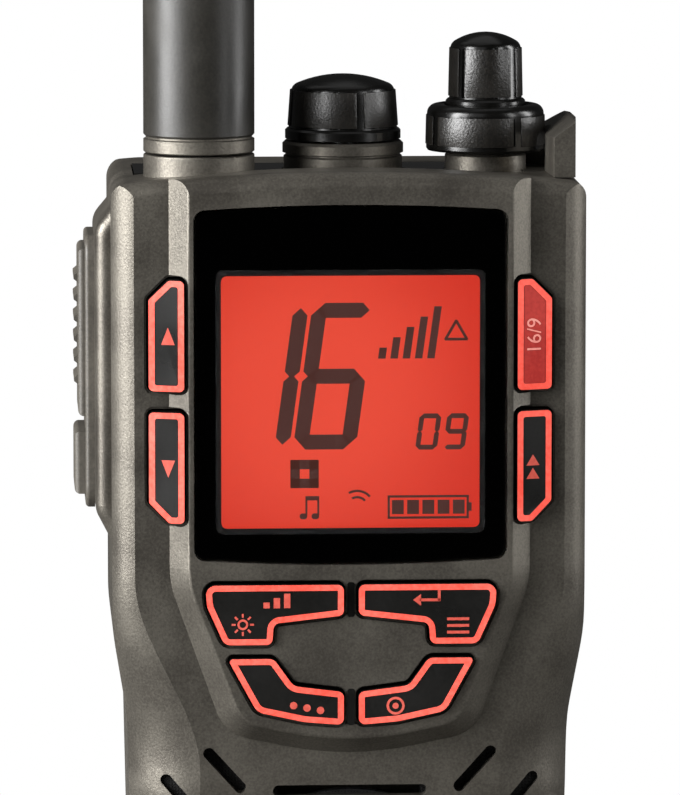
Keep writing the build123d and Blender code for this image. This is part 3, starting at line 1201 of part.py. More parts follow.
def channel_shaft():
    tube = rod_z(TUBE_RADIUS, DECK_IN - CONTROL_HEIGHT + 2 + APART, RING_TOP_Z - 0.9, VOLUME_X)
    return tube - rod_z(INNER_SHAFT_RADIUS + SHAFT_CLEARANCE, 0, RING_TOP_Z + 9, VOLUME_X)


def volume_knob():
    z0 = RING_TOP_Z - 0.5
    z1 = z0 + VOLUME_HEIGHT
    knob = fluted_knob(VOLUME_RADIUS, z0, z1, 7, 0.6, VOLUME_X, skirt=1.2)
    return knob - rod_z(INNER_SHAFT_RADIUS, z0 - 1, z1 - 2.2, VOLUME_X)


def volume_shaft():
    top = RING_TOP_Z - 0.5 + VOLUME_HEIGHT - 2.2
    return rod_z(INNER_SHAFT_RADIUS, DECK_IN - CONTROL_HEIGHT - 1 + APART, top, VOLUME_X)


# ================================================================ antenna
def antenna_jack():
    z0 = DECK_IN - 5
    body = rod_z(JACK_FLANGE_RADIUS, z0, JACK_SEAT_Z, ANTENNA_X, ANTENNA_Y)
    body = body + rod_z(JACK_RADIUS, JACK_SEAT_Z, ANTENNA_BOSS_Z - 0.4, ANTENNA_X, ANTENNA_Y)
    return body - rod_z(PIN_RADIUS + APART, z0 + 1.5, ANTENNA_BOSS_Z, ANTENNA_X, ANTENNA_Y)


def antenna_plug():
    """Coupling nut and pin on the antenna's foot, with the former that carries the coil."""
    inner, outer = JACK_RADIUS + SHAFT_CLEARANCE, JACK_RADIUS + PLUG_WALL
    z0, z1 = PLUG_Z, SHEATH_Z + 2.5
    nut = rod_z(outer, z0, z1, ANTENNA_X, ANTENNA_Y)
    nut = nut - rod_z(inner, z0 - 1, ANTENNA_BOSS_Z, ANTENNA_X, ANTENNA_Y)
    former = rod_z(COIL_RADIUS - COIL_WIRE, z1, COIL_TOP_Z, ANTENNA_X, ANTENNA_Y)
    return nut + former + rod_z(PIN_RADIUS, z0 + 0.4, ANTENNA_BOSS_Z + 1, ANTENNA_X, ANTENNA_Y)


def antenna_collar():
    r, z0, z1 = ANTENNA_RADIUS, COLLAR_Z, SHEATH_Z
    inner = JACK_RADIUS + PLUG_WALL
    near, far = SEAL_RING_RADIUS - SEAL_CORD - APART, SEAL_RING_RADIUS + SEAL_CORD + APART
    roof = ANTENNA_BOSS_Z + 2 * SEAL_CORD + APART + 0.02
    foot = [(inner, z0), (near, z0), (near, roof), (far, roof), (far, z0), (r - 0.15, z0)]
    side = [(r, z0 + 0.15), (r, z1 - 0.35), (r - 0.3, z1 - 0.2), (r - 0.3, z1), (inner, z1)]
    return turned(foot + side, ANTENNA_X, ANTENNA_Y)


def antenna_seal():
    """O-ring under the collar. It rises with the antenna but doesn't turn."""
    ring = Torus(SEAL_RING_RADIUS, SEAL_CORD)
    return Pos(ANTENNA_X, ANTENNA_Y, ANTENNA_BOSS_Z + SEAL_CORD + 0.02) * ring


def antenna_sheath():
    r, z0, z1 = ANTENNA_RADIUS, SHEATH_Z, SHEATH_Z + ANTENNA_LENGTH
    tip = ANTENNA_TIP_RADIUS
    bore, nut = COIL_RADIUS + COIL_WIRE + 0.3, JACK_RADIUS + PLUG_WALL
    taper_z = z0 + ANTENNA_LENGTH * 0.3
    side = Polyline((nut, z0), (r - 0.3, z0), (r, z0 + 0.3), (r, taper_z), (tip, z1 - tip * 0.8))
    dome = cap_arc(tip, z1 - tip * 0.8, z1)
    floor = z0 + 2.5
    inner = Polyline((0, z1), (0, COIL_TOP_Z), (bore, COIL_TOP_Z), (bore, floor), (nut, floor), (nut, z0))
    body = revolve(Plane.XZ * make_face([*side.edges(), dome, *inner.edges()]), Axis.Z)
    return Pos(ANTENNA_X, ANTENNA_Y, 0) * body


def antenna_coil():
    path = Helix(pitch=COIL_PITCH, height=COIL_PITCH * COIL_TURNS, radius=COIL_RADIUS)
    coil = sweep(Plane(origin=path @ 0, z_dir=path % 0) * Circle(COIL_WIRE), path=path)
    return Pos(ANTENNA_X, ANTENNA_Y, COIL_Z) * coil


# ================================================================ press-to-talk side
def side_bezel():
    """Soft frame round the two side keys."""
    plan = rounded_outline([(-BEZEL_HALF_DEPTH, BEZEL_LOW_Z, 3), (BEZEL_HALF_DEPTH, BEZEL_LOW_Z, 3),
                            (BEZEL_HALF_DEPTH, BEZEL_TOP_Z, 3), (-BEZEL_HALF_DEPTH, BEZEL_TOP_Z, 3)])
    plane = Plane(origin=(BULGE_X, 0, 0), x_dir=(0, -1, 0), z_dir=(-1, 0, 0))
    frame = extrude(plane * plan, amount=BEZEL_THICKNESS)
    frame = fillet(frame.faces().sort_by(Axis.X)[0].edges(), 0.5)
    for low, high in ((TALK_LOW_Z, TALK_TOP_Z), (LIGHT_LOW_Z, LIGHT_TOP_Z)):
        frame = frame - block(BEZEL_X - 1, BULGE_X + 1, -KEY_HALF_DEPTH, KEY_HALF_DEPTH, low, high)
    return frame


def side_press_key(z0, z1, proud):
    """A side key that slides inwards through the bezel; a flange inside holds it."""
    half = KEY_HALF_DEPTH - SIDE_GAP
    body = block(BEZEL_X - proud, SIDE_KEY_STOP_X, -half, half, z0 + SIDE_GAP, z1 - SIDE_GAP)
    body = fillet(body.faces().sort_by(Axis.X)[0].edges(), 0.7)
    reach = half + SIDE_FLANGE - SIDE_GAP
    grow = SIDE_FLANGE - 2 * SIDE_GAP
    return body + block(BULGE_X + SIDE_GAP, SIDE_KEY_STOP_X, -reach, reach, z0 - grow, z1 + grow)


def talk_key():
    body = side_press_key(TALK_LOW_Z, TALK_TOP_Z, TALK_PROUD)
    middle = (TALK_LOW_Z + TALK_TOP_Z) / 2 + 0.4
    x0 = BEZEL_X - TALK_PROUD
    for i in range(RIB_COUNT):
        z = middle + (i - (RIB_COUNT - 1) / 2) * RIB_PITCH
        profile = Plane.XZ * make_face(Polyline((x0 + 0.3, z - 0.85), (x0 - RIB_HEIGHT, z - 0.2),
                                                (x0 - RIB_HEIGHT, z + 0.2), (x0 + 0.3, z + 0.85), close=True))
        half = KEY_HALF_DEPTH - SIDE_GAP - 1.4
        body = body + Pos(0, half, 0) * extrude(profile, amount=2 * half)
    return body


def light_key():
    return side_press_key(LIGHT_LOW_Z, LIGHT_TOP_Z, LIGHT_PROUD)


def side_switches():
    """Small board across the window with one push switch behind each side key."""
    x0, half_width = -SIDE_IN, KEY_HALF_DEPTH + SIDE_FLANGE + 1.2
    board = block(x0, x0 + SIDE_BOARD_THICKNESS, -half_width, half_width, LIGHT_LOW_Z - 0.5, TALK_TOP_Z - 1.5)
    for z in ((TALK_LOW_Z + TALK_TOP_Z) / 2, (LIGHT_LOW_Z + LIGHT_TOP_Z) / 2):
        half = SWITCH_SIZE / 2
        board = board + block(SWITCH_X, x0, -half, half, z - half, z + half)
        board = board + rod_x(SWITCH_BUTTON_RADIUS, SWITCH_TIP_X, SWITCH_X + 0.5, 0, z)
    return board


# ================================================================ accessory jack
def accessory_jack():
    x1 = SIDE_IN
    body = block(x1 - JACK_DEPTH - 1, x1, -4.2, 4.2, MIC_JACK_Z - 4.8, SPEAKER_JACK_Z + 4.8)
    body = body - rod_x(SPEAKER_JACK_RADIUS, x1 - JACK_DEPTH, x1 + 1, 0, SPEAKER_JACK_Z)
    return body - rod_x(MIC_JACK_RADIUS, x1 - JACK_DEPTH, x1 + 1, 0, MIC_JACK_Z)


def jack_cover():
    """Rubber flap that lies flush in the side wall and swings out about its rear edge."""
    thickness = COVER_THICKNESS - COVER_GAP
    z0, z1 = JACK_MID_Z - COVER_HALF_HEIGHT, JACK_MID_Z + COVER_HALF_HEIGHT
    flap = block(HALF_WIDTH - thickness, HALF_WIDTH, COVER_FRONT_Y, COVER_HINGE_Y, z0, z1)
    flap = flap + rod_z(thickness / 2, z0, z1, COVER_HINGE_X, COVER_HINGE_Y)
    pad_x = HALF_WIDTH - thickness - PLUG_PAD_HEIGHT
    for z in (SPEAKER_JACK_Z, MIC_JACK_Z):
        flap = flap + rod_x(JACK_MOUTH_RADIUS - APART, pad_x, HALF_WIDTH - 0.5, 0, z)
    thumb_y0, thumb_y1 = COVER_FRONT_Y - 1, COVER_FRONT_Y + 1.2
    return flap - block(HALF_WIDTH - 0.5, HALF_WIDTH + 1, thumb_y0, thumb_y1, JACK_MID_Z - 3, JACK_MID_Z + 3)


# ================================================================ belt clip
def clip_bracket():
    """Plate screwed to the back, with two ears for the hinge pin."""
    y0, y1 = BACK_Y, BACK_Y + BRACKET_THICKNESS
    half = CLIP_HALF_WIDTH + CLIP_GAP + CLIP_EAR
    plate = slab(rounded_box_outline(half, BRACKET_LOW_Z, BRACKET_TOP_Z, 1.5), y0, y1)
    z, r = CLIP_HINGE_Z, KNUCKLE_RADIUS
    ear = block(half - CLIP_EAR, half, y1 - 0.5, CLIP_HINGE_Y, z - r, z + r)
    ear = ear + rod_x(r, half - CLIP_EAR, half, CLIP_HINGE_Y, z)
    plate = plate + both_sides(ear) - rod_x(CLIP_PIN_RADIUS, -half - 1, half + 1, CLIP_HINGE_Y, z)
    for side in (-1, 1):
        plate = plate - rod_y(SCREW_RADIUS + FIT, y0 - 1, y1 + 1, side * BRACKET_SCREW_X, BRACKET_SCREW_Z)
    return plate


def clip_screws():
    y_head = BACK_Y + BRACKET_THICKNESS + SCREW_HEAD_HEIGHT
    length = BRACKET_THICKNESS + WALL + 2.4
    return group([screw(side * BRACKET_SCREW_X, BRACKET_SCREW_Z, y_head, length) for side in (-1, 1)])


def clip_pin():
    half = CLIP_HALF_WIDTH + CLIP_GAP + CLIP_EAR
    return rod_x(CLIP_PIN_RADIUS, -half, half, CLIP_HINGE_Y, CLIP_HINGE_Z)


def belt_clip():
    """Sprung arm: knuckles on the pin, thumb lever above it, and a bead that closes on the back."""
    w, y = CLIP_HALF_WIDTH, CLIP_HINGE_Y
    y_in, y_out = y + 0.4, y + 0.4 + CLIP_THICKNESS
    arm_outline = rounded_box_outline(w, CLIP_LOW_Z, CLIP_HINGE_Z + CLIP_LEVER, 3)
    arm = slab(arm_outline, y_in, y_out)
    arm = fillet(arm.faces().sort_by(Axis.Y)[-1].edges(), 0.6)
    knuckle = rod_x(KNUCKLE_RADIUS, w - 5, w, y, CLIP_HINGE_Z)
    arm = arm + both_sides(knuckle)
    bead_depth = y_in - BACK_Y - CLIP_GAP
    bead_z = CLIP_LOW_Z + CLIP_BEAD + 0.8
    bead = rod_x(CLIP_BEAD, -w + 2, w - 2, BACK_Y + CLIP_GAP + CLIP_BEAD, bead_z)
    web_y = y_in - bead_depth + CLIP_BEAD
    web = block(-w + 2, w - 2, web_y, y_in + 0.5, bead_z - CLIP_BEAD, bead_z + CLIP_BEAD)
    arm = arm + bead + web
    window = SPRING_HALF_LENGTH + SPRING_WIRE + 0.5
    arm = arm - block(-window, window, y - 5, y + 5, CLIP_HINGE_Z - 3, CLIP_HINGE_Z + 3)
    return arm - rod_x(CLIP_PIN_RADIUS + SHAFT_CLEARANCE, -w - 1, w + 1, y, CLIP_HINGE_Z)


def clip_spring():
    """Torsion spring round the pin, between the knuckles."""
    length = 2 * SPRING_HALF_LENGTH
    path = Helix(pitch=length / 5, height=length, radius=CLIP_PIN_RADIUS + SPRING_WIRE + 0.02)
    coil = sweep(Plane(origin=path @ 0, z_dir=path % 0) * Circle(SPRING_WIRE), path=path)
    return Pos(-SPRING_HALF_LENGTH, CLIP_HINGE_Y, CLIP_HINGE_Z) * Rot(0, 90, 0) * coil


# ================================================================ charging contacts
def charging_contacts():
    pads = []
    for side in (-1, 1):
        pad = rod_z(CHARGE_RADIUS, CHARGE_SINK, CHARGE_SINK + CHARGE_LENGTH, side * CHARGE_X, CHARGE_Y)
        pads.append(fillet(pad.edges().sort_by(Axis.Z)[0], 0.25))
    return group(pads)


# ================================================================ all sub-parts
KEY_NODES = {
    "channel_up_key": ("side_upper", True), "channel_down_key": ("side_lower", True),
    "priority_key": ("side_upper", False), "scan_key": ("side_lower", False),
    "power_level_key": ("pad_upper", True), "enter_key": ("pad_upper", False),
    "watch_key": ("pad_lower", True), "memory_key": ("pad_lower", False),
}

MAKERS = [
    front_housing, rear_housing, case_gasket, case_screws, top_panel, strap_eyelet,
    display_lens, lcd_glass, backlight,
    main_board, board_screws, shield_cans, chassis, key_mat, key_domes,
    speaker_frame, speaker_cone, speaker_membrane, microphone,
    battery_contacts, battery_door, door_gasket, door_screws,
    squelch_control, volume_control, control_nuts, squelch_knob, squelch_shaft,
    channel_ring, channel_shaft, volume_knob, volume_shaft,
    antenna_jack, antenna_plug, antenna_collar, antenna_seal, antenna_sheath, antenna_coil,
    side_bezel, talk_key, light_key, side_switches, accessory_jack, jack_cover,
    clip_bracket, clip_screws, clip_pin, belt_clip, clip_spring, charging_contacts,
]


def main():
    os.makedirs("parts", exist_ok=True)
    made = {maker.__name__: maker() for maker in MAKERS}
    right_keys = {name: key(name) for name in KEY_OUTLINES}
    for node, (name, left) in KEY_NODES.items():
        made[node] = mirrored(right_keys[name]) if left else right_keys[name]
    made["battery_cells"] = group([cell(*place) for place in cell_places()])
    for node, shape in made.items():
        export_step(shape, f"parts/{node}.step")


if __name__ == "__main__":
    main()
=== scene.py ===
# %% [markdown]
# # A handheld marine radio
# The construction of the radio is already there: every moulded shell, key, knob and screw comes from the
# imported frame, at its real size and place. This lesson dresses it: it gives each part the surface that its
# real material and process leave behind, and models what is too thin or too fine for the construction,
# such as the printed mask behind the lens, the segments of the display, the signs on the keys and the grip
# pads on the knobs.

# %% Load the frame
import json
from math import cos, pi, radians, sin

import bpy
from mathutils import Matrix, Vector

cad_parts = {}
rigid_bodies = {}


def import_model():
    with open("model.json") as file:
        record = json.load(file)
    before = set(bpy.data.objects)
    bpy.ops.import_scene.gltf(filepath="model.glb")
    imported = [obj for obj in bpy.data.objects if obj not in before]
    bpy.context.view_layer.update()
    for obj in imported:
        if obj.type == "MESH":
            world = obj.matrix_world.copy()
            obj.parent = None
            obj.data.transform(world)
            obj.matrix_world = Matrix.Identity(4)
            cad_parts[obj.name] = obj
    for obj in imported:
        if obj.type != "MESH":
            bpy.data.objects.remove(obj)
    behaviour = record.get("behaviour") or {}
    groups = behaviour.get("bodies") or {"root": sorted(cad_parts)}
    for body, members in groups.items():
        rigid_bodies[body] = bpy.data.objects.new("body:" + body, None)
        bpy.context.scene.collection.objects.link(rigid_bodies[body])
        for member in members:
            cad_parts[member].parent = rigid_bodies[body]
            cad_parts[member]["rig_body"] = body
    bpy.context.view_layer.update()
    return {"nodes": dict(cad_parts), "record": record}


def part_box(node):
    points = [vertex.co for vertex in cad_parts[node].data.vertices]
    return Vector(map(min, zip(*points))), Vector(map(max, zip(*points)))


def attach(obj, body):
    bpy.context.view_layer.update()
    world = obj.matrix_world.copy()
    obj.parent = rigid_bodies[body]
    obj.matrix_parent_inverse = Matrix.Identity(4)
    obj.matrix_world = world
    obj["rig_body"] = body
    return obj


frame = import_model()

nodes = frame["nodes"]
MM = 0.001
MERGE = 0.002 * MM  # points closer than this are one point

# %% [markdown]
# ## Camera
# The camera stands a little to the left and a little above, behind a long lens, so that the radio's upright
# edges stay nearly parallel. The view is 100 mm tall at the front panel and cuts off the antenna and the foot.

# %% Camera
AZIMUTH, ELEVATION = radians(-3.0), radians(7.0)
FRAME_HEIGHT_PX = 795
MM_PER_PX = 0.1257
AIM = Vector((-1.4, -20.0, 96.6)) * MM
DISTANCE, CLIP_END = 0.85, 50

back = Vector((sin(AZIMUTH) * cos(ELEVATION), -cos(AZIMUTH) * cos(ELEVATION), sin(ELEVATION)))
camera = bpy.data.objects.new("camera", bpy.data.cameras.new("camera"))
bpy.context.scene.collection.objects.link(camera)
bpy.context.scene.camera = camera
camera.location = AIM + back * DISTANCE
camera.rotation_mode = "QUATERNION"
camera.rotation_quaternion = (-back).to_track_quat("-Z", "Y")
half_view = FRAME_HEIGHT_PX / 2 * MM_PER_PX * MM
camera.data.lens = camera.data.sensor_width / 2 * DISTANCE / half_view
camera.data.clip_end = CLIP_END
print(f"lens {camera.data.lens:.0f} mm")

# %% [markdown]
# ## Helpers for materials
# A colour is written as it is seen on a screen, in sRGB, and one function turns it to the linear numbers
# that Blender calculates with. A second function adds one node, with its settings and its links.

# %% Colours and nodes
def linear(code):
    """The linear RGBA of an sRGB colour such as 4b4843."""
    parts = [int(code[i:i + 2], 16) / 255 for i in (0, 2, 4)]
    return (*[p / 12.92 if p <= 0.04045 else ((p + 0.055) / 1.055) ** 2.4 for p in parts], 1.0)


def add(tree, kind, inputs=None, **settings):
    """Adds a node. An input's value may be a number, a colour or another node's output socket."""
    made = tree.nodes.new("ShaderNode" + kind)
    for name, value in settings.items():
        setattr(made, name, value)
    for name, value in (inputs or {}).items():
        if isinstance(value, bpy.types.NodeSocket):
            tree.links.new(value, made.inputs[name])
        else:
            made.inputs[name].default_value = value
    return made


def new_material(name, **values):
    """A material with a Principled shader, and the uniform values set on the shader's own sockets."""
    made = bpy.data.materials.new(name)
    made.use_nodes = True
    shader = made.node_tree.nodes["Principled BSDF"]
    for socket, value in values.items():
        shader.inputs[socket.replace("_", " ")].default_value = value
    return made, made.node_tree, shader


# %% [markdown]
# ## Grained surfaces
# Nearly every part of a radio is moulded, cast or plated, and its surface has a grain: tiny hills of a known
# size, and patches that are a little lighter or duller. Two noise textures on the part's own coordinates give
# both. The grain sets the bump, and the patches change colour and roughness.

# %% Grained material
PATCH_MM = 9.0
MOTTLED = {"From Min": 0.75, "From Max": 1.25}  # the sum of two noises, mostly within this range
NOISE = {"From Min": 0.3, "From Max": 0.7}  # a single noise, mostly within this range


def grained(name, dark, light, roughness, grain_mm, relief_mm, spread=0.06, **values):
    """A surface with grain of grain_mm, relief_mm high, mottled between two colours."""
    made, tree, shader = new_material(name, **values)
    where = add(tree, "TexCoord").outputs["Object"]
    grain = add(tree, "TexNoise", {"Vector": where, "Scale": 1 / (grain_mm * MM), "Detail": 2.0})
    patch = add(tree, "TexNoise", {"Vector": where, "Scale": 1 / (PATCH_MM * MM), "Detail": 3.0})
    both = add(tree, "Math", {0: grain.outputs["Fac"], 1: patch.outputs["Fac"]}, operation="ADD")
    share = add(tree, "MapRange", {"Value": both.outputs[0], **MOTTLED})
    colour = add(tree, "Mix", {0: share.outputs[0], 6: linear(dark), 7: linear(light)}, data_type="RGBA")
    dull = add(tree, "MapRange", {"Value": patch.outputs["Fac"], **NOISE,
                                  "To Min": roughness - spread, "To Max": roughness + spread})
    bump = add(tree, "Bump", {"Height": grain.outputs["Fac"], "Strength": 1.0, "Distance": relief_mm * MM})
    tree.links.new(colour.outputs[2], shader.inputs["Base Color"])
    tree.links.new(dull.outputs[0], shader.inputs["Roughness"])
    tree.links.new(bump.outputs[0], shader.inputs["Normal"])
    return made


# %% [markdown]
# ## Housing
# The case is polycarbonate with aluminium flake in it, moulded in a tool whose walls were spark-eroded. Flake
# and grain scatter the light in a satin way, so the faces look dark from the front and turn bright where they
# fall away towards a lamp. Real spark erosion is about 0.06 mm coarse. It is drawn at 0.3 mm, so that it shows.

# %% Moulded plastics
housing = grained("spark_eroded_flake_polycarbonate", "54504a", "6c6860", 0.42, 0.30, 0.022, Metallic=0.75)
black_plastic = grained("moulded_black_abs", "0d0d0c", "1a1918", 0.38, 0.35, 0.012, IOR=1.53)
white_plastic = grained("moulded_white_polycarbonate", "c9c8c2", "dcdbd6", 0.45, 0.5, 0.005, IOR=1.58)
# On the top panel and on the bars between the keys, this polished black is painted shade.
gloss_black = grained("polished_black_and_painted_shade", "070706", "0c0c0b", 0.14, 0.8, 0.001, spread=0.03, IOR=1.53)

# %% [markdown]
# ## Rubber
# The antenna's sheath and the grips are over-moulded thermoplastic rubber. It is softer to the eye than the
# case: the grain is finer and the highlight broad. The knobs are smoother, so their highlights are narrow. Their
# pads have a pebble like leather's, with a deeper relief that breaks the highlights up. Silicone, on the talk
# key and the seals, is duller.

# %% Rubbers
antenna_rubber = grained("overmoulded_rubber_sheath", "1f1e1b", "2c2a26", 0.40, 0.35, 0.012, IOR=1.5)
pad_rubber = grained("pebbled_rubber_grip", "0e0d0b", "211e1a", 0.36, 0.30, 0.050, IOR=1.6)
knob_rubber = grained("overmoulded_rubber_knob", "070706", "0d0c0b", 0.24, 0.6, 0.004, IOR=1.5)
side_rubber = grained("moulded_silicone_grip", "3f3c37", "524e47", 0.46, 0.35, 0.014, IOR=1.5)
gasket_rubber = grained("moulded_silicone_seal", "101010", "1c1c1b", 0.6, 0.3, 0.010, IOR=1.43)

# %% [markdown]
# ## Metals and the inside
# Under the case lie stamped, plated, turned and cast metals, a board in green solder resist and cells in a
# printed sleeve. A metal has no colour of its own under its reflection, so it is fully metallic.

# %% Metals and inner parts
steel = grained("zinc_plated_steel", "8d8e8f", "a9aaab", 0.34, 0.25, 0.004, Metallic=1.0)
nickel = grained("nickel_plated_brass", "a8a49a", "bdb9ae", 0.24, 0.3, 0.003, Metallic=1.0)
diecast = grained("die_cast_aluminium", "8c8d8e", "a3a4a6", 0.52, 0.5, 0.015, Metallic=1.0)
gold = grained("gold_plated_contact", "c99b45", "dcb25e", 0.26, 0.3, 0.003, Metallic=1.0)
board_green = grained("solder_resist_on_fibreglass", "0d3a1e", "155028", 0.3, 0.5, 0.004, IOR=1.55)
cell_sleeve = grained("printed_cell_sleeve", "1b1c20", "26272c", 0.28, 0.8, 0.002, IOR=1.5)
cone_paper = grained("pressed_paper_cone", "121211", "1d1c1b", 0.8, 0.4, 0.020)


THREAD_MM, THREAD_RELIEF_MM = 0.4, 0.05
WAVE_UNIT = 2 * pi / 20  # the wave texture repeats once in this length at scale 1


def woven_film():
    """Acoustic film behind the slots, a fine plain weave."""
    made, tree, shader = new_material("woven_acoustic_film", Roughness=0.85)
    where = add(tree, "TexCoord").outputs["Object"]
    thread = {"Vector": where, "Scale": WAVE_UNIT / (THREAD_MM * MM)}
    waves = [add(tree, "TexWave", thread, bands_direction=axis) for axis in ("X", "Z")]
    weave = add(tree, "Math", {0: waves[0].outputs["Fac"], 1: waves[1].outputs["Fac"]}, operation="MULTIPLY")
    colour = add(tree, "Mix", {0: weave.outputs[0], 6: linear("020202"), 7: linear("0c0c0b")}, data_type="RGBA")
    bump = add(tree, "Bump", {"Height": weave.outputs[0], "Distance": THREAD_RELIEF_MM * MM})
    tree.links.new(colour.outputs[2], shader.inputs["Base Color"])
    tree.links.new(bump.outputs[0], shader.inputs["Normal"])
    return made


film = woven_film()

# %% [markdown]
# ## Lit silicone
# The keys are cast in translucent silicone, painted black, and a laser has taken the paint off their front
# rims. Red light from behind glows through there. So a face that looks forward and lies level with the rims,
# or just below them, is lit, and the others are paint. A soft noise lets the glow swell and fade a little.

# %% Lit silicone
SIDE_SLOPE, SIDE_KEY_X_MM, SIDE_RIM_Y_MM = 0.33, 21.0, -20.1  # the plane of the side keys' rims
LIT_DEPTH_MM = 0.5  # how far below the rim a face may lie and still be lit
LIT_FROM, LIT_FULL = -0.80, -0.90  # the normal's Y where the glow begins, and where it is full
DRIFT_MM = 4.0  # from swell to swell of the glow


def lit_silicone(name, dark, light, glow, strength):
    """Silicone that glows where it looks forward at the front, and is painted black elsewhere."""
    made = grained(name, dark, light, 0.34, 0.5, 0.006, IOR=1.43)
    tree = made.node_tree
    shader = tree.nodes["Principled BSDF"]
    where = add(tree, "TexCoord")
    facing = add(tree, "SeparateXYZ", {"Vector": add(tree, "NewGeometry").outputs["True Normal"]})
    forward = add(tree, "MapRange", {"Value": facing.outputs["Y"], "From Min": LIT_FROM, "From Max": LIT_FULL})
    place = add(tree, "SeparateXYZ", {"Vector": where.outputs["Object"]})
    aside = add(tree, "Math", {0: place.outputs["X"]}, operation="ABSOLUTE")
    beyond = add(tree, "Math", {0: aside.outputs[0], 1: SIDE_KEY_X_MM * MM}, operation="SUBTRACT")
    slope = add(tree, "Math", {0: beyond.outputs[0], 1: 0.0}, operation="MAXIMUM")
    depth = add(tree, "Math", {0: slope.outputs[0], 1: -SIDE_SLOPE, 2: place.outputs["Y"]},
                operation="MULTIPLY_ADD")
    front = add(tree, "Math", {0: depth.outputs[0], 1: (SIDE_RIM_Y_MM + LIT_DEPTH_MM) * MM},
                operation="LESS_THAN")
    bare = add(tree, "Math", {0: forward.outputs[0], 1: front.outputs[0]}, operation="MULTIPLY")
    skin = shader.inputs["Base Color"].links[0].from_socket
    coat = add(tree, "Mix", {0: bare.outputs[0], 6: linear("0e0d0c"), 7: skin}, data_type="RGBA")
    drift = add(tree, "TexNoise", {"Vector": where.outputs["Object"], "Scale": 1 / (DRIFT_MM * MM), "Detail": 1.0})
    share = add(tree, "MapRange", {"Value": drift.outputs["Fac"], **NOISE})
    tint = add(tree, "Mix", {0: share.outputs[0], 6: linear(glow[0]), 7: linear(glow[1])}, data_type="RGBA")
    power = add(tree, "Math", {0: bare.outputs[0], 1: strength}, operation="MULTIPLY")
    tree.links.new(coat.outputs[2], shader.inputs["Base Color"])
    tree.links.new(tint.outputs[2], shader.inputs["Emission Color"])
    tree.links.new(power.outputs[0], shader.inputs["Emission Strength"])
    return made


key_silicone = lit_silicone("lit_translucent_silicone", "c8493d", "dc6a5e", ("e03a2a", "f55545"), 0.62)
red_silicone = lit_silicone("lit_red_silicone", "a02c28", "b83c35", ("901a16", "a92922"), 0.35)
key_print = grained("laser_etched_black_paint", "0b0b0a", "151413", 0.32, 0.4, 0.004, IOR=1.5)
legend = lit_silicone("lit_legend", "b04a3f", "c65f53", ("9a2e24", "b84034"), 0.45)
red_legend = lit_silicone("lit_legend_on_red", "e88f84", "f2a89c", ("c05a4e", "d87468"), 0.35)

# %% [markdown]
# ## Display
# The lens is polished acrylic, clear all through, and its back is printed black around the window. Behind it
# the liquid crystal glass is lit from its edges by red diodes: brightest left of the middle, and deeper red
# towards the right and the corners. The segments are dark, and let a little of the red through.

# %% Display materials
clear_acrylic, _, _ = new_material("polished_clear_acrylic", Roughness=0.0, IOR=1.49, Transmission_Weight=1.0)
clear_acrylic.node_tree.nodes["Principled BSDF"].inputs["Base Color"].default_value = linear("f6f6f6")
mask_ink = grained("screen_printed_black_ink", "020202", "050505", 0.5, 0.3, 0.001)


def backlit_glass():
    """Red light from the edges, measured from a bright place left of the middle."""
    made, tree, shader = new_material("backlit_liquid_crystal_glass", Roughness=0.25, Emission_Strength=1.0)
    low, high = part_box("lcd_glass")
    middle, half = (low + high) / 2, (high - low) / 2
    where = add(tree, "TexCoord").outputs["Object"]
    bright = middle + Vector((-0.25 * half.x, 0, 0.1 * half.z))
    centred = add(tree, "Mapping", {"Vector": where, "Location": (-bright.x, -bright.y, -bright.z)})
    reach = add(tree, "VectorMath", {0: centred.outputs[0]}, operation="LENGTH")
    share = add(tree, "MapRange", {"Value": reach.outputs["Value"], "From Min": 0.35 * half.x,
                                   "From Max": 1.5 * half.x}, interpolation_type="SMOOTHSTEP")
    colour = add(tree, "Mix", {0: share.outputs[0], 6: linear("f4503c"), 7: linear("d93526")}, data_type="RGBA")
    tree.links.new(colour.outputs[2], shader.inputs["Emission Color"])
    shader.inputs["Base Color"].default_value = linear("3a0c08")
    return made


lcd_glow = backlit_glass()
lcd_ink, _, _ = new_material("darkened_liquid_crystal", Roughness=0.5, Emission_Strength=1.0)
lcd_ink.node_tree.nodes["Principled BSDF"].inputs["Base Color"].default_value = linear("1c0d0b")
lcd_ink.node_tree.nodes["Principled BSDF"].inputs["Emission Color"].default_value = linear("4a2a24")

# %% [markdown]
# ## Dress the frame
# Each node of the frame names the finish that it is made in, and gets the material for that finish.

# %% Materials on the nodes
FINISHES = {
    "housing_plastic": housing, "black_plastic": black_plastic, "gloss_black": clear_acrylic,
    "antenna_rubber": antenna_rubber, "knob_rubber": knob_rubber, "side_rubber": side_rubber,
    "key_silicone": key_silicone, "red_silicone": red_silicone, "lcd": lcd_glow,
    "white_plastic": white_plastic, "board": board_green, "nickel": nickel, "steel": steel,
    "diecast": diecast, "gold_contact": gold, "gasket_rubber": gasket_rubber, "membrane": film,
    "cone": cone_paper, "cell": cell_sleeve,
}


def dress(obj, material):
    """Gives an object one material and no other."""
    obj.data.materials.clear()
    obj.data.materials.append(material)


for part in frame["record"]["subparts"]:
    dress(nodes[part["node"]], FINISHES[part["material_slot"]])
# The top panel gets polished black instead of the case's grey: the dark of the deck between the knobs is shade and
# dark reflection, painted into its colour.
dress(nodes["top_panel"], gloss_black)


SHARP = radians(35)  # an edge that turns by more than this is sharp


def round_edges(node, width_mm):
    """Rounds a node's sharp edges with live modifiers, so that its own mesh stays as it is."""
    weld = nodes[node].modifiers.new("weld", "WELD")
    weld.merge_threshold = MERGE
    bevel = nodes[node].modifiers.new("edges", "BEVEL")
    bevel.width, bevel.segments, bevel.angle_limit = width_mm * MM, 3, SHARP
    bevel.use_clamp_overlap = True


round_edges("strap_eyelet", 1.0)

# %% [markdown]
# ## Helpers for modelling
# New pieces are modelled as by hand: a primitive is added at its size, shaped in edit mode and finished with
# modifiers. The helpers below only select, place, apply and hand the finished piece over to its body.

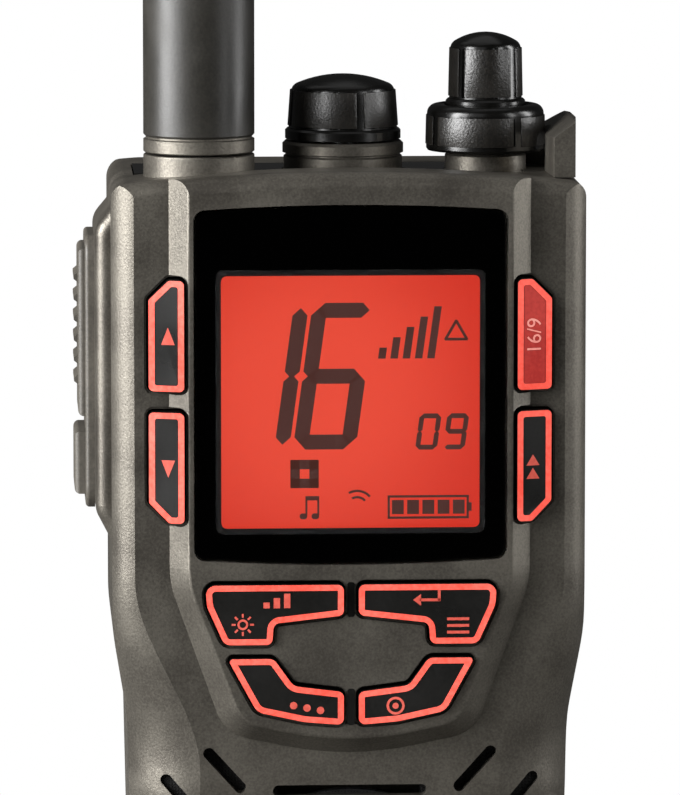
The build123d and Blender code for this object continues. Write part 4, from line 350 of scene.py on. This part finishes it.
# %% Modelling helpers
def only(obj):
    """Selects one object and makes it active."""
    bpy.ops.object.select_all(action="DESELECT")
    obj.select_set(True)
    bpy.context.view_layer.objects.active = obj


def pick(obj, kind, test):
    """In edit mode, selects the edges or the polygons that pass the test, and nothing else."""
    bpy.ops.mesh.select_mode(type={"edges": "EDGE", "polygons": "FACE"}[kind])
    bpy.ops.mesh.select_all(action="DESELECT")
    bpy.ops.object.mode_set(mode="OBJECT")
    points = obj.data.vertices
    for item in getattr(obj.data, kind):
        if kind == "edges":
            item.select = test(points[item.vertices[0]].co, points[item.vertices[1]].co)
        else:
            item.select = test(item)
    bpy.ops.object.mode_set(mode="EDIT")


def outward(obj):
    """Merges doubles and turns every face outwards."""
    only(obj)
    bpy.ops.object.mode_set(mode="EDIT")
    bpy.ops.mesh.select_all(action="SELECT")
    bpy.ops.mesh.remove_doubles(threshold=MERGE)
    bpy.ops.mesh.normals_make_consistent(inside=False)
    bpy.ops.object.mode_set(mode="OBJECT")


def settle(obj, name, material, body):
    """Puts the place into the mesh, shades it, names it and lets it ride on its body."""
    only(obj)
    bpy.ops.object.transform_apply(location=True, rotation=True, scale=True)
    bpy.ops.object.shade_smooth_by_angle(angle=SHARP)
    obj.name = obj.data.name = name
    dress(obj, material)
    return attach(obj, body)


def join(parts):
    """Joins finished shapes into the first of them."""
    bpy.ops.object.select_all(action="DESELECT")
    for part in parts:
        part.select_set(True)
    bpy.context.view_layer.objects.active = parts[0]
    if len(parts) > 1:
        bpy.ops.object.join()
    return parts[0]


def turned(obj, x, z, angle):
    """Turns a finished mesh by angle, in degrees, about the line that points at the viewer through (x, z)."""
    centre = Matrix.Translation((x * MM, 0, z * MM))
    obj.data.transform(centre @ Matrix.Rotation(radians(angle), 4, "Y") @ centre.inverted())
    return obj


def body_of(node):
    """The body that a node rides on."""
    return nodes[node]["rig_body"]


# %% [markdown]
# ## Thin plates
# Printed and etched shapes are thin plates. One starts as a cube at its size. Its four upright edges, which
# point at the viewer, are bevelled in edit mode to round its corners.

# %% Plate
ALIGNED = 1e-7  # an edge whose ends differ by less than this lies along an axis


def plate(x, z, width, height, y_front, y_back, corner=0.0, segments=4):
    """A plate centred at (x, z), all in mm."""
    bpy.ops.object.select_all(action="DESELECT")
    bpy.ops.mesh.primitive_cube_add(size=1, location=(x * MM, (y_front + y_back) / 2 * MM, z * MM))
    made = bpy.context.object
    made.scale = (width * MM, (y_back - y_front) * MM, height * MM)
    bpy.ops.object.transform_apply(location=True, rotation=True, scale=True)
    if corner:
        bpy.ops.object.mode_set(mode="EDIT")
        pick(made, "edges", lambda a, b: abs(a.x - b.x) < ALIGNED and abs(a.z - b.z) < ALIGNED)
        bpy.ops.mesh.bevel(offset=corner * MM, segments=segments, affect="EDGES")
        bpy.ops.object.mode_set(mode="OBJECT")
    return made


# %% [markdown]
# ## Printed mask behind the lens
# The black border that frames the display is ink on the back of the lens. It is a plate with rounded corners,
# and a second plate with rounded corners cuts the window out of it.

# %% Lens mask
INK_MM, INK_GAP_MM = 0.06, 0.02
MASK_MARGIN_MM, MASK_CROWN_MM = 0.5, 0.9  # the lens reaches past its mask by these, aside and up and down
MASK_CORNER_MM = 1.0
VIEW_WIDTH_MM, VIEW_HEIGHT_MM, VIEW_CORNER_MM, VIEW_Z_MM = 32.6, 32.0, 0.7, 95.85
lens_low, lens_high = [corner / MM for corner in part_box("display_lens")]


def lens_mask():
    """The mask's plate, with the window cut out of it."""
    width = lens_high.x - lens_low.x - 2 * MASK_MARGIN_MM
    height = lens_high.z - lens_low.z - 2 * MASK_CROWN_MM
    z_mid = (lens_high.z + lens_low.z) / 2
    back_y = lens_high.y + INK_GAP_MM
    made = plate(0, z_mid, width, height, back_y, back_y + INK_MM, MASK_CORNER_MM)
    cutter = plate(0, VIEW_Z_MM, VIEW_WIDTH_MM, VIEW_HEIGHT_MM, back_y - 1, back_y + 1, VIEW_CORNER_MM)
    only(made)
    cut = made.modifiers.new("window", "BOOLEAN")
    cut.object, cut.operation, cut.solver = cutter, "DIFFERENCE", "EXACT"
    bpy.ops.object.modifier_apply(modifier=cut.name)
    bpy.data.objects.remove(cutter)
    return made


mask = settle(lens_mask(), "lens_mask", mask_ink, body_of("display_lens"))
print("mask faces", len(mask.data.polygons))

# %% [markdown]
# ## Digits
# A seven-segment digit is up to seven bars with pointed ends, a little apart. Each bar is a plate whose corners
# are bevelled flat, almost up to its middle line. The digit leans, which a slant of the finished mesh gives.

# %% Seven-segment digits
GLASS_Y_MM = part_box("lcd_glass")[0].y / MM
SEGMENT_MM = 0.05  # thickness of the darkened crystal, as drawn
LIT = {0: "abcdef", 1: "bc", 6: "acdefg", 9: "abcdfg"}
LEAN = 0.137  # how far a point moves to the side for its height


def slanted(lean):
    """A matrix that moves each point sideways by its height times lean."""
    matrix = Matrix.Identity(4)
    matrix[0][2] = lean
    return matrix


def bar(x, z, length, thick, upright):
    """One segment with pointed ends."""
    width, height = (thick, length) if upright else (length, thick)
    return plate(x, z, width, height, GLASS_Y_MM - SEGMENT_MM, GLASS_Y_MM, thick * 0.49, 1)


def digit(number, x, z, width, height, thick, gap):
    """A digit whose columns are width apart, centred at (x, z)."""
    half, reach = height / 2 - thick / 2, width / 2
    places = {
        "a": (0, half, width, False), "g": (0, 0, width, False), "d": (0, -half, width, False),
        "f": (-reach, half / 2, half, True), "b": (reach, half / 2, half, True),
        "e": (-reach, -half / 2, half, True), "c": (reach, -half / 2, half, True),
    }
    bars = []
    for name in LIT[number]:
        dx, dz, length, upright = places[name]
        bars.append(bar(dx, dz, length + thick * 0.55 - gap, thick, upright))
    made = join(bars)
    made.data.transform(Matrix.Translation(Vector((x, 0, z)) * MM) @ slanted(LEAN))
    return made


LARGE = dict(width=6.05, height=18.6, thick=1.9, gap=0.45)
SMALL = dict(width=2.15, height=4.6, thick=0.62, gap=0.15)
LARGE_X, LARGE_Z, LARGE_PITCH = -2.0, 99.0, 8.4
SMALL_X, SMALL_Z, SMALL_PITCH = 13.4, 91.9, 3.5
settle(digit(1, LARGE_X - LARGE_PITCH, LARGE_Z, **LARGE), "lcd_channel_tens", lcd_ink, body_of("lcd_glass"))
settle(digit(6, LARGE_X, LARGE_Z, **LARGE), "lcd_channel_units", lcd_ink, body_of("lcd_glass"))
settle(digit(0, SMALL_X - SMALL_PITCH, SMALL_Z, **SMALL), "lcd_memory_tens", lcd_ink, body_of("lcd_glass"))
settle(digit(9, SMALL_X, SMALL_Z, **SMALL), "lcd_memory_units", lcd_ink, body_of("lcd_glass"))
print("digits 16 and 09")

# %% [markdown]
# ## Signs on the display
# The rest of the display is signs: five bars of signal strength, a triangle, a square, a note, sound arcs
# and a battery with five cells. Bars and cells are plates. The arcs are small faces spun about a centre.

# %% Signs
ARC_STEPS = 16


def lcd_plate(x, z, width, height, corner=0.0):
    """A plate of darkened crystal on the glass."""
    return plate(x, z, width, height, GLASS_Y_MM - SEGMENT_MM, GLASS_Y_MM, corner, 3)


def arc(x, z, radius, thick, start, sweep, y_front, y_back):
    """A flat arc: the end face of a thin plate, spun about the line through (x, z) that points at the viewer."""
    made = plate(x, z + radius, 0.001, thick, y_front, y_back)
    bpy.ops.object.mode_set(mode="EDIT")
    pick(made, "polygons", lambda face: face.normal.x < 0.9)
    bpy.ops.mesh.delete(type="FACE")
    bpy.ops.mesh.select_all(action="SELECT")
    bpy.ops.mesh.spin(steps=ARC_STEPS, angle=radians(sweep), center=(x * MM, 0, z * MM), axis=(0, 1, 0))
    bpy.ops.object.mode_set(mode="OBJECT")
    outward(turned(made, x, z, start))
    return made


def signal_bars(x, z, pitch):
    """Five leaning bars of growing height, which stand on the line at height z."""
    made = []
    for i, height in enumerate((1.4, 2.7, 4.0, 5.3, 6.6)):
        aside = height * LEAN / 2
        made.append(lcd_plate(x + i * pitch + aside, z + height / 2, 0.95, height))
        made[-1].data.transform(Matrix.Translation((0, 0, z * MM)) @ slanted(LEAN) @
                                Matrix.Translation((-aside * MM, 0, -z * MM)))
    return join(made)


def triangle_sign(x, z, side, thick):
    """Three bars round a triangle's middle."""
    middle = side * 0.2887  # from the middle of a triangle to its side
    return join([turned(lcd_plate(x, z - middle, side + thick * 0.6, thick, thick * 0.3), x, z, turn)
                 for turn in (0, 120, 240)])


def square_sign(x, z, side):
    """A square with a square hole."""
    made = [lcd_plate(x + dx * side / 3, z, side / 3, side, 0.12) for dx in (-1, 1)]
    return join(made + [lcd_plate(x, z + dz * side / 3, side, side / 3, 0.12) for dz in (-1, 1)])


def note_sign(x, z):
    """Two heads, two stems and a beam."""
    front, rear = GLASS_Y_MM - SEGMENT_MM, GLASS_Y_MM
    heads = [plate(x + dx, z, 0.95, 0.75, front, rear, 0.34, 5) for dx in (0, 1.5)]
    stems = [lcd_plate(x + dx + 0.38, z + 1.2, 0.25, 2.4) for dx in (0, 1.5)]
    return join(heads + stems + [lcd_plate(x + 1.13, z + 2.3, 1.75, 0.55)])


def sound_arcs(x, z):
    """Two arcs about one point."""
    front, rear = GLASS_Y_MM - SEGMENT_MM, GLASS_Y_MM
    return join([arc(x, z, radius, 0.3, 50, 80, front, rear) for radius in (1.3, 2.1)])


def battery_sign(x, z):
    """A frame with a pole at its end and five cells in it."""
    width, height, line = 10.0, 2.7, 0.3
    rims = [lcd_plate(x, z + side * height / 2, width + line, line) for side in (-1, 1)]
    rims += [lcd_plate(x + side * width / 2, z, line, height) for side in (-1, 1)]
    cells = [lcd_plate(x - width / 2 + 1.15 + i * 1.93, z, 1.5, height - 0.9) for i in range(5)]
    return join(rims + cells + [lcd_plate(x + width / 2 + 0.3, z, 0.4, 1.1)])


SIGNS = {
    "lcd_signal_bars": signal_bars(4.0, 101.2, 1.55),
    "lcd_alert_triangle": triangle_sign(13.4, 104.4, 2.7, 0.36),
    "lcd_square_sign": square_sign(-5.75, 86.6, 3.6),
    "lcd_note_sign": note_sign(-5.9, 81.2),
    "lcd_sound_arcs": sound_arcs(0.9, 82.3),
    "lcd_battery_gauge": battery_sign(9.9, 82.3),
}
for name, sign in SIGNS.items():
    settle(sign, name, lcd_ink, body_of("lcd_glass"))
print(len(SIGNS), "signs")

# %% [markdown]
# ## Key faces
# Each lit key has a painted face sunk inside its glowing rim, black on seven keys and red on the priority key.
# Its outline is the rim's inner edge, so the piece starts as a copy of the key, keeps only the sunk face, and
# gets its thickness from a modifier.

# %% Key faces
KEY_NAMES = [n for n in nodes if n.endswith("_key") and n not in ("talk_key", "light_key")]
SINK_MM, FACE_THICK_MM = 0.2, 0.14
SIDE_KEYS = ("channel_up_key", "channel_down_key", "priority_key", "scan_key")


def rim_y(key, x_mm):
    """Y of the plane that a key's rim lies in, at x."""
    if key in SIDE_KEYS:
        return SIDE_RIM_Y_MM + (abs(x_mm) - SIDE_KEY_X_MM) * SIDE_SLOPE
    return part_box(key)[0].y / MM


def face_y(key, x_mm):
    """Y of the painted face's front, at x."""
    return rim_y(key, x_mm) + SINK_MM - FACE_THICK_MM


def key_face(key):
    """The painted plate on a key's sunk face."""
    made = bpy.data.objects.new(key + "_face", nodes[key].data.copy())
    bpy.context.scene.collection.objects.link(made)
    only(made)
    bpy.ops.object.mode_set(mode="EDIT")
    bpy.ops.mesh.select_all(action="SELECT")
    bpy.ops.mesh.remove_doubles(threshold=MERGE)

    def other(face):
        depth = face.center.y / MM - rim_y(key, face.center.x / MM)
        return not (face.normal.y < -0.85 and abs(depth - SINK_MM) < 0.05)

    pick(made, "polygons", other)
    bpy.ops.mesh.delete(type="FACE")
    bpy.ops.object.mode_set(mode="OBJECT")
    wall = made.modifiers.new("thickness", "SOLIDIFY")
    wall.thickness, wall.offset = FACE_THICK_MM * MM, 1.0
    bpy.ops.object.modifier_apply(modifier=wall.name)
    outward(made)
    return made


for key in KEY_NAMES:
    paint = red_silicone if key == "priority_key" else key_print
    settle(key_face(key), key + "_face", paint, body_of(key))
    dress(nodes[key], key_silicone)
print("key faces:", len(KEY_NAMES))

# %% [markdown]
# ## Legends on the keys
# The paint is etched away by laser where a sign should glow. The signs are plain ones: arrows for channel up,
# channel down and scan, steps for the power, a sun for the weather, a return arrow and lines for enter and
# setup, dots for the channels that are watched, a ring for the memory and numbers for the priority channels.

# %% Legends
LEGEND_MM, LEGEND_SUNK_MM = 0.04, 0.02  # how far a legend stands out of the face, and how far it reaches in
NUMBER_MM = 2.6  # the size of the channel numbers


def on_key(key, x, z, width, height, corner=0.0):
    """A legend plate on a key's face."""
    front = face_y(key, x)
    return plate(x, z, width, height, front - LEGEND_MM, front + LEGEND_SUNK_MM, corner, 3)


def lay_on_slope(obj, key):
    """Slants a side key's legend to lie on its face."""
    if key in SIDE_KEYS:
        slant = Matrix.Identity(4)
        x_mid = (max(v.co.x for v in obj.data.vertices) + min(v.co.x for v in obj.data.vertices)) / 2
        side = 1 if x_mid > 0 else -1
        slant[1][0], slant[1][3] = side * SIDE_SLOPE, -side * SIDE_SLOPE * x_mid
        obj.data.transform(slant)
    return obj


def arrow_head(key, x, z, width, height):
    """A filled triangle: a plate whose upper or lower edge is closed to a point."""
    made = on_key(key, x, z, width, abs(height))
    up = 1 if height > 0 else -1
    for vertex in made.data.vertices:
        if (vertex.co.z / MM - z) * up > 0:
            vertex.co.x = x * MM
    outward(made)
    return made


def ring(key, x, z, radius, thick):
    """A full ring on a key's face."""
    front = face_y(key, x)
    return arc(x, z, radius, thick, 0, 360, front - LEGEND_MM, front + LEGEND_SUNK_MM)


def sun(key, x, z):
    """A ring and eight rays."""
    rays = [turned(on_key(key, x, z + 1.15, 0.26, 0.5), x, z, i * 45) for i in range(8)]
    return join(rays + [ring(key, x, z, 0.55, 0.28)])


def steps_sign(key, x, z):
    """Three rising steps."""
    return join([on_key(key, x + (i - 1) * 1.3, z + (i - 2) * 0.28, 0.8, 0.75 + i * 0.55) for i in range(3)])


def return_arrow(key, x, z):
    """An arrow to the left whose stem comes from above."""
    stem = on_key(key, x + 0.35, z, 2.6, 0.36)
    post = on_key(key, x + 1.5, z + 0.62, 0.36, 1.5)
    head = turned(arrow_head(key, x - 1.3, z, 1.5, 1.0), x - 1.3, z, -90)
    return join([stem, post, head])


def dots(key, x, z):
    """Three dots in a falling row."""
    return join([on_key(key, x + (i - 1) * 1.7, z + (1 - i) * 0.32, 0.95, 0.95, 0.45) for i in range(3)])


def lines_sign(key, x, z):
    """Three lines of a list."""
    return join([on_key(key, x, z + (i - 1) * 0.85, 2.8, 0.36) for i in range(3)])


def double_arrow(key, x, z):
    """Two arrow heads, one above the other."""
    return join([arrow_head(key, x, z + side * 0.85, 1.7, 1.4) for side in (-1, 1)])


def target_sign(key, x, z):
    """A ring with a dot in it."""
    return join([ring(key, x, z, 1.0, 0.32), on_key(key, x, z, 0.8, 0.8, 0.39)])


up, down = "channel_up_key", "channel_down_key"
LEGENDS = {
    up: arrow_head(up, -23.0, 104.4, 1.7, 2.2),
    down: arrow_head(down, -23.0, 87.6, 1.7, -2.2),
    "power_level_key": join([steps_sign("power_level_key", -9.4, 70.9), sun("power_level_key", -13.7, 67.9)]),
    "enter_key": join([return_arrow("enter_key", 9.6, 70.9), lines_sign("enter_key", 13.5, 67.6)]),
    "watch_key": dots("watch_key", -5.6, 57.2),
    "memory_key": target_sign("memory_key", 5.6, 57.4),
    "scan_key": double_arrow("scan_key", 23.0, 87.6),
}
for key, sign in LEGENDS.items():
    settle(lay_on_slope(sign, key), key + "_legend", legend, body_of(key))


def key_number(key, x, z):
    """Channel numbers on the red key, read from below upwards."""
    bpy.ops.object.select_all(action="DESELECT")
    bpy.ops.object.text_add(location=(0, 0, 0))
    made = bpy.context.object
    made.data.body = "16/9"
    made.data.size, made.data.align_x, made.data.align_y = NUMBER_MM * MM, "CENTER", "CENTER"
    made.data.extrude = LEGEND_MM / 2 * MM
    bpy.ops.object.convert(target="MESH")
    bpy.ops.object.origin_set(type="ORIGIN_GEOMETRY", center="BOUNDS")
    made.location = (0, 0, 0)
    front = face_y(key, x) - LEGEND_MM / 2
    stand = Matrix.Rotation(radians(90), 4, "X")
    upright = Matrix.Rotation(radians(-90), 4, "Y")
    made.data.transform(Matrix.Translation(Vector((x, front, z)) * MM) @ upright @ stand)
    outward(made)
    return made


settle(lay_on_slope(key_number("priority_key", 23.1, 104.4), "priority_key"), "priority_key_legend",
       red_legend, body_of("priority_key"))
print("legends:", len(LEGENDS) + 1)

# %% [markdown]
# ## Dark gaps
# Between the left and the right keys lies a black bar, painted shade where the gap between the keys falls in
# shadow. Behind the slanting slots at the speaker's corners, patches of the same dark woven film as in front of
# the cone make the slots read black.

# %% Bars and film patches
panel_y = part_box("front_housing")[0].y / MM
film_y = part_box("speaker_membrane")[1].y / MM
BAR_WIDTH_MM, BAR_PROUD_MM, BAR_SUNK_MM, BAR_CORNER_MM = 0.9, 0.03, 0.3, 0.3
BAR_OVER_MM = 0.8  # a bar reaches past its keys by this
NEAR_PANEL_MM, NEAR_END_MM = 0.5, 0.05  # which points of a key are at its front, and which at its inner end
PATCH_X_MM, PATCH_Z_MM, PATCH_SIZE_MM = 16.5, (11, 46), (15, 14)


def key_gap_shade(key):
    """A black bar of painted shade, as tall as the inner end of a key, between it and its mirror image."""
    low, high = [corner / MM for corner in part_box(key)]
    front = [v.co for v in nodes[key].data.vertices if v.co.y < (panel_y + NEAR_PANEL_MM) * MM]
    inner = max(point.x for point in front)
    ends = [point.z / MM for point in front if point.x > inner - NEAR_END_MM * MM]
    z, height = (min(ends) + max(ends)) / 2, max(ends) - min(ends) + 2 * BAR_OVER_MM
    print(f"{key}: {high.x - low.x:.1f} mm wide, its bar {height:.1f} mm tall")
    return plate(0, z, BAR_WIDTH_MM, height, panel_y - BAR_PROUD_MM, panel_y + BAR_SUNK_MM, BAR_CORNER_MM)


# The bars are painted shade: black plates in the gaps between the keys, where shadow falls.
bars = join([key_gap_shade("power_level_key"), key_gap_shade("watch_key")])
settle(bars, "keypad_gap_shade", gloss_black, body_of("front_housing"))
# Dark film patches behind the slanting slots, so that the slots read black instead of showing the board.
patches = [plate(side * PATCH_X_MM, z, *PATCH_SIZE_MM, film_y + 0.01, film_y + 0.04, 1.0)
           for side in (-1, 1) for z in PATCH_Z_MM]
settle(join(patches), "slot_film", film, body_of("front_housing"))
print(len(patches), "film patches")

# %% [markdown]
# ## Grip pads
# Pebbled rubber pads are moulded onto the knobs between a few smooth flutes. A pad is a strip of a cone that
# stands a little proud. The cone is a primitive without ends, cut down to the pad's share of the turn.

# %% Grip pads
PAD_PROUD_MM, PAD_SUNK_MM, PAD_CORNER_MM = 0.14, 0.1, 0.8
PAD_EDGE_MM, PAD_SHARP = 0.08, radians(50)  # the rounding of a pad's edge, and how sharp an edge gets it
BAND_MARGIN_MM = 0.35  # from a knob's skirt to its pads
SHOULDER_MM = 2.0  # a knob's dome and the rounding under it, above the pads
DOME_MM, SKIRT_OUT_MM = 1.5, 0.1  # a knob's dome alone, and how far its skirt stands out of its radius
SIDE_STEP_MM, SIDE_TAPER = 0.45, 0.9  # the band is slimmer than the skirt, and narrows to a share of the radius
RING_STEPS_MM, RING_MARGINS_MM = (0.04, 0.12), (0.8, 1.4)  # below and above, on the channel ring


def across(point, middle):
    """The cosine of the angle between a point, seen from the upright axis, and the direction middle."""
    return Vector((point.x, point.y, 0)).normalized().dot(middle)


def grip_pad(x, r_low, r_top, z_low, z_top, start, sweep):
    """A pad from start through sweep, in degrees about the upright axis at x."""
    bpy.ops.object.select_all(action="DESELECT")
    bpy.ops.mesh.primitive_cone_add(vertices=120, radius1=(r_low + PAD_PROUD_MM) * MM,
                                    radius2=(r_top + PAD_PROUD_MM) * MM, depth=(z_top - z_low) * MM,
                                    end_fill_type="NOTHING", location=(0, 0, (z_low + z_top) / 2 * MM))
    made = bpy.context.object
    bpy.ops.object.transform_apply(location=True)
    bpy.ops.object.mode_set(mode="EDIT")
    angle = radians(start + sweep / 2)
    middle = Vector((cos(angle), sin(angle), 0))
    pick(made, "polygons", lambda face: across(face.center, middle) < cos(radians(sweep / 2)))
    bpy.ops.mesh.delete(type="FACE")
    bpy.ops.object.mode_set(mode="OBJECT")
    wall = made.modifiers.new("thickness", "SOLIDIFY")
    wall.thickness, wall.offset = (PAD_PROUD_MM + PAD_SUNK_MM) * MM, -1.0
    bpy.ops.object.modifier_apply(modifier=wall.name)
    outward(made)
    end = min(across(vertex.co, middle) for vertex in made.data.vertices)

    def corner(a, b):
        at_end = across(a, middle) < end + 1e-4
        return at_end and abs(a.z - b.z) < PAD_PROUD_MM * MM and (a - b).length > 0.5 * PAD_PROUD_MM * MM

    bpy.ops.object.mode_set(mode="EDIT")
    pick(made, "edges", corner)
    bpy.ops.mesh.bevel(offset=PAD_CORNER_MM * MM, segments=4, affect="EDGES")
    bpy.ops.object.mode_set(mode="OBJECT")
    only(made)
    bevel = made.modifiers.new("edges", "BEVEL")
    bevel.width, bevel.segments, bevel.angle_limit = PAD_EDGE_MM * MM, 2, PAD_SHARP
    bpy.ops.object.modifier_apply(modifier=bevel.name)
    made.data.transform(Matrix.Translation((x * MM, 0, 0)))
    return made


def pads(node, radii, heights, count, first, gap):
    """Pads of one knob: count of them round its band, gap degrees apart."""
    low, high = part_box(node)
    x = (low.x + high.x) / 2 / MM
    turn = 360 / count
    shapes = [grip_pad(x, *radii, *heights, first + i * turn + gap / 2, turn - gap) for i in range(count)]
    return settle(join(shapes), node + "_pads", pad_rubber, body_of(node))


def knob_pads(node, skirt, count, first, gap):
    """Pads on the tapering band of a knob, above its skirt."""
    low, high = [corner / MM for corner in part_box(node)]
    widest = (high.x - low.x) / 2
    z_low, z_top = low.z + skirt + BAND_MARGIN_MM, high.z - SHOULDER_MM
    share = (z_top - z_low) / (high.z - DOME_MM - low.z - skirt)
    r_low = widest - SIDE_STEP_MM
    r_top = r_low + (SIDE_TAPER * (widest - SKIRT_OUT_MM) - r_low) * share
    return pads(node, (r_low, r_top), (z_low, z_top), count, first, gap)


def ring_pads(count, first, gap):
    """Pads on the straight side of the channel ring."""
    low, high = [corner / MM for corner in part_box("channel_ring")]
    radius = (high.x - low.x) / 2
    radii = [radius - step for step in RING_STEPS_MM]
    heights = (low.z + RING_MARGINS_MM[0], high.z - RING_MARGINS_MM[1])
    return pads("channel_ring", radii, heights, count, first, gap)


FRONT_TURN = -90  # the direction that looks at the viewer
knob_pads("squelch_knob", 1.3, 4, FRONT_TURN + 17, 9)
knob_pads("volume_knob", 1.2, 4, FRONT_TURN - 45, 14)
ring_pads(4, FRONT_TURN - 62, 9)
print("pads on 3 knobs")

# %% [markdown]
# ## Floor
# The radio stands on a pale disc that fades to white, in front of white. Only the camera sees it pale. For
# light that bounces off it the disc is darker, which keeps the lower panel in shade.

# %% Floor
FLOOR_RADIUS, CLEAR_RADIUS = 0.40, 0.11


def paper_floor():
    """Paper that fades to white away from the radio."""
    made, tree, shader = new_material("matt_white_paper", Roughness=0.9)
    where = add(tree, "TexCoord").outputs["Object"]
    fibre = add(tree, "TexNoise", {"Vector": where, "Scale": 1 / (0.6 * MM)})
    tone = add(tree, "Mix", {0: fibre.outputs["Fac"], 6: linear("e6e5e2"), 7: linear("eeedea")}, data_type="RGBA")
    path = add(tree, "LightPath")
    held = add(tree, "Mix", {0: path.outputs["Is Camera Ray"], 6: linear("6e6d6a"), 7: tone.outputs[2]},
               data_type="RGBA")
    tree.links.new(held.outputs[2], shader.inputs["Base Color"])
    reach = add(tree, "VectorMath", {0: where}, operation="LENGTH")
    far = add(tree, "MapRange", {"Value": reach.outputs["Value"], "From Min": CLEAR_RADIUS,
                                 "From Max": 1.5 * CLEAR_RADIUS}, interpolation_type="SMOOTHSTEP")
    seen = add(tree, "Math", {0: path.outputs["Is Camera Ray"], 1: path.outputs["Is Transmission Ray"]},
               operation="MAXIMUM")
    share = add(tree, "Math", {0: far.outputs[0], 1: seen.outputs[0]}, operation="MULTIPLY")
    white = add(tree, "Emission", {"Color": linear("ffffff"), "Strength": 1.0})
    mixed = add(tree, "MixShader", {0: share.outputs[0], 1: shader.outputs[0], 2: white.outputs[0]})
    tree.links.new(mixed.outputs[0], tree.nodes["Material Output"].inputs["Surface"])
    return made


bpy.ops.object.select_all(action="DESELECT")
bpy.ops.mesh.primitive_circle_add(vertices=96, radius=FLOOR_RADIUS, fill_type="NGON", location=(0, 0, 0))
floor = bpy.context.object
floor.name = "floor"
dress(floor, paper_floor())
print(f"floor {2 * FLOOR_RADIUS} m across")

# %% [markdown]
# ## The room
# Wherever the camera looks past the radio it sees white. What lights the radio from the room is dim, and
# darkest behind the camera, so that polished black looks black from the front.

# %% World
def studio_world():
    """White wherever the camera looks. For the other rays dim, and darkest behind the camera."""
    world = bpy.context.scene.world or bpy.data.worlds.new("studio")
    bpy.context.scene.world = world
    world.use_nodes = True
    tree = world.node_tree
    tree.nodes.clear()
    where = add(tree, "TexCoord").outputs["Generated"]
    parts = add(tree, "SeparateXYZ", {"Vector": where})
    room = add(tree, "MapRange", {"Value": parts.outputs["Y"], "From Min": -0.85, "From Max": 0.35,
                                  "To Min": 0.01, "To Max": 0.03}, interpolation_type="SMOOTHSTEP")
    path = add(tree, "LightPath")
    level = add(tree, "Mix", {0: path.outputs["Is Camera Ray"], 2: room.outputs[0], 3: 1.0}, data_type="FLOAT")
    light = add(tree, "Background", {"Color": linear("ffffff"), "Strength": level.outputs[0]})
    out = add(tree, "OutputWorld")
    tree.links.new(light.outputs[0], out.inputs["Surface"])


studio_world()
print("white room")

# %% [markdown]
# ## Lamps
# Two upright strip lamps at the sides draw the bright lines down the rounded edges and the antenna. A softbox
# overhead and a weak fill in front light the faces, and two slim lamps in front add lines on the knobs. Every
# lamp is a rectangle that looks at the middle of the case.

# %% Lamps
CASE_MIDDLE = Vector((0, 0, 0.1))


def softbox(name, place, width, height, watts):
    """A flat rectangular lamp at place, in metres, that looks at the case."""
    lamp = bpy.data.lights.new(name, "AREA")
    lamp.shape, lamp.size, lamp.size_y, lamp.energy = "RECTANGLE", width, height, watts
    made = bpy.data.objects.new(name, lamp)
    bpy.context.scene.collection.objects.link(made)
    made.location = place
    aim = CASE_MIDDLE - made.location
    made.rotation_euler = aim.to_track_quat("-Z", "Y").to_euler()


softbox("left_strip", (-0.72, -0.25, 0.32), 0.44, 0.58, 18.0)
softbox("right_strip", (0.82, -0.02, 0.33), 0.22, 0.60, 4.4)
softbox("overhead", (-0.10, 0.20, 1.00), 1.00, 1.00, 0.9)
softbox("front_fill", (-0.50, -0.95, 0.55), 0.90, 0.70, 0.9)
softbox("front_left", (-0.60, -0.57, 0.36), 0.14, 0.55, 3.0)
softbox("front_right", (0.66, -0.52, 0.36), 0.14, 0.55, 1.8)
print("6 lamps")

# %% [markdown]
# ## Finish
# Colours are shown as they are written, so the view transform is the standard one.

# %% Finish
bpy.context.scene.view_settings.view_transform = "Standard"
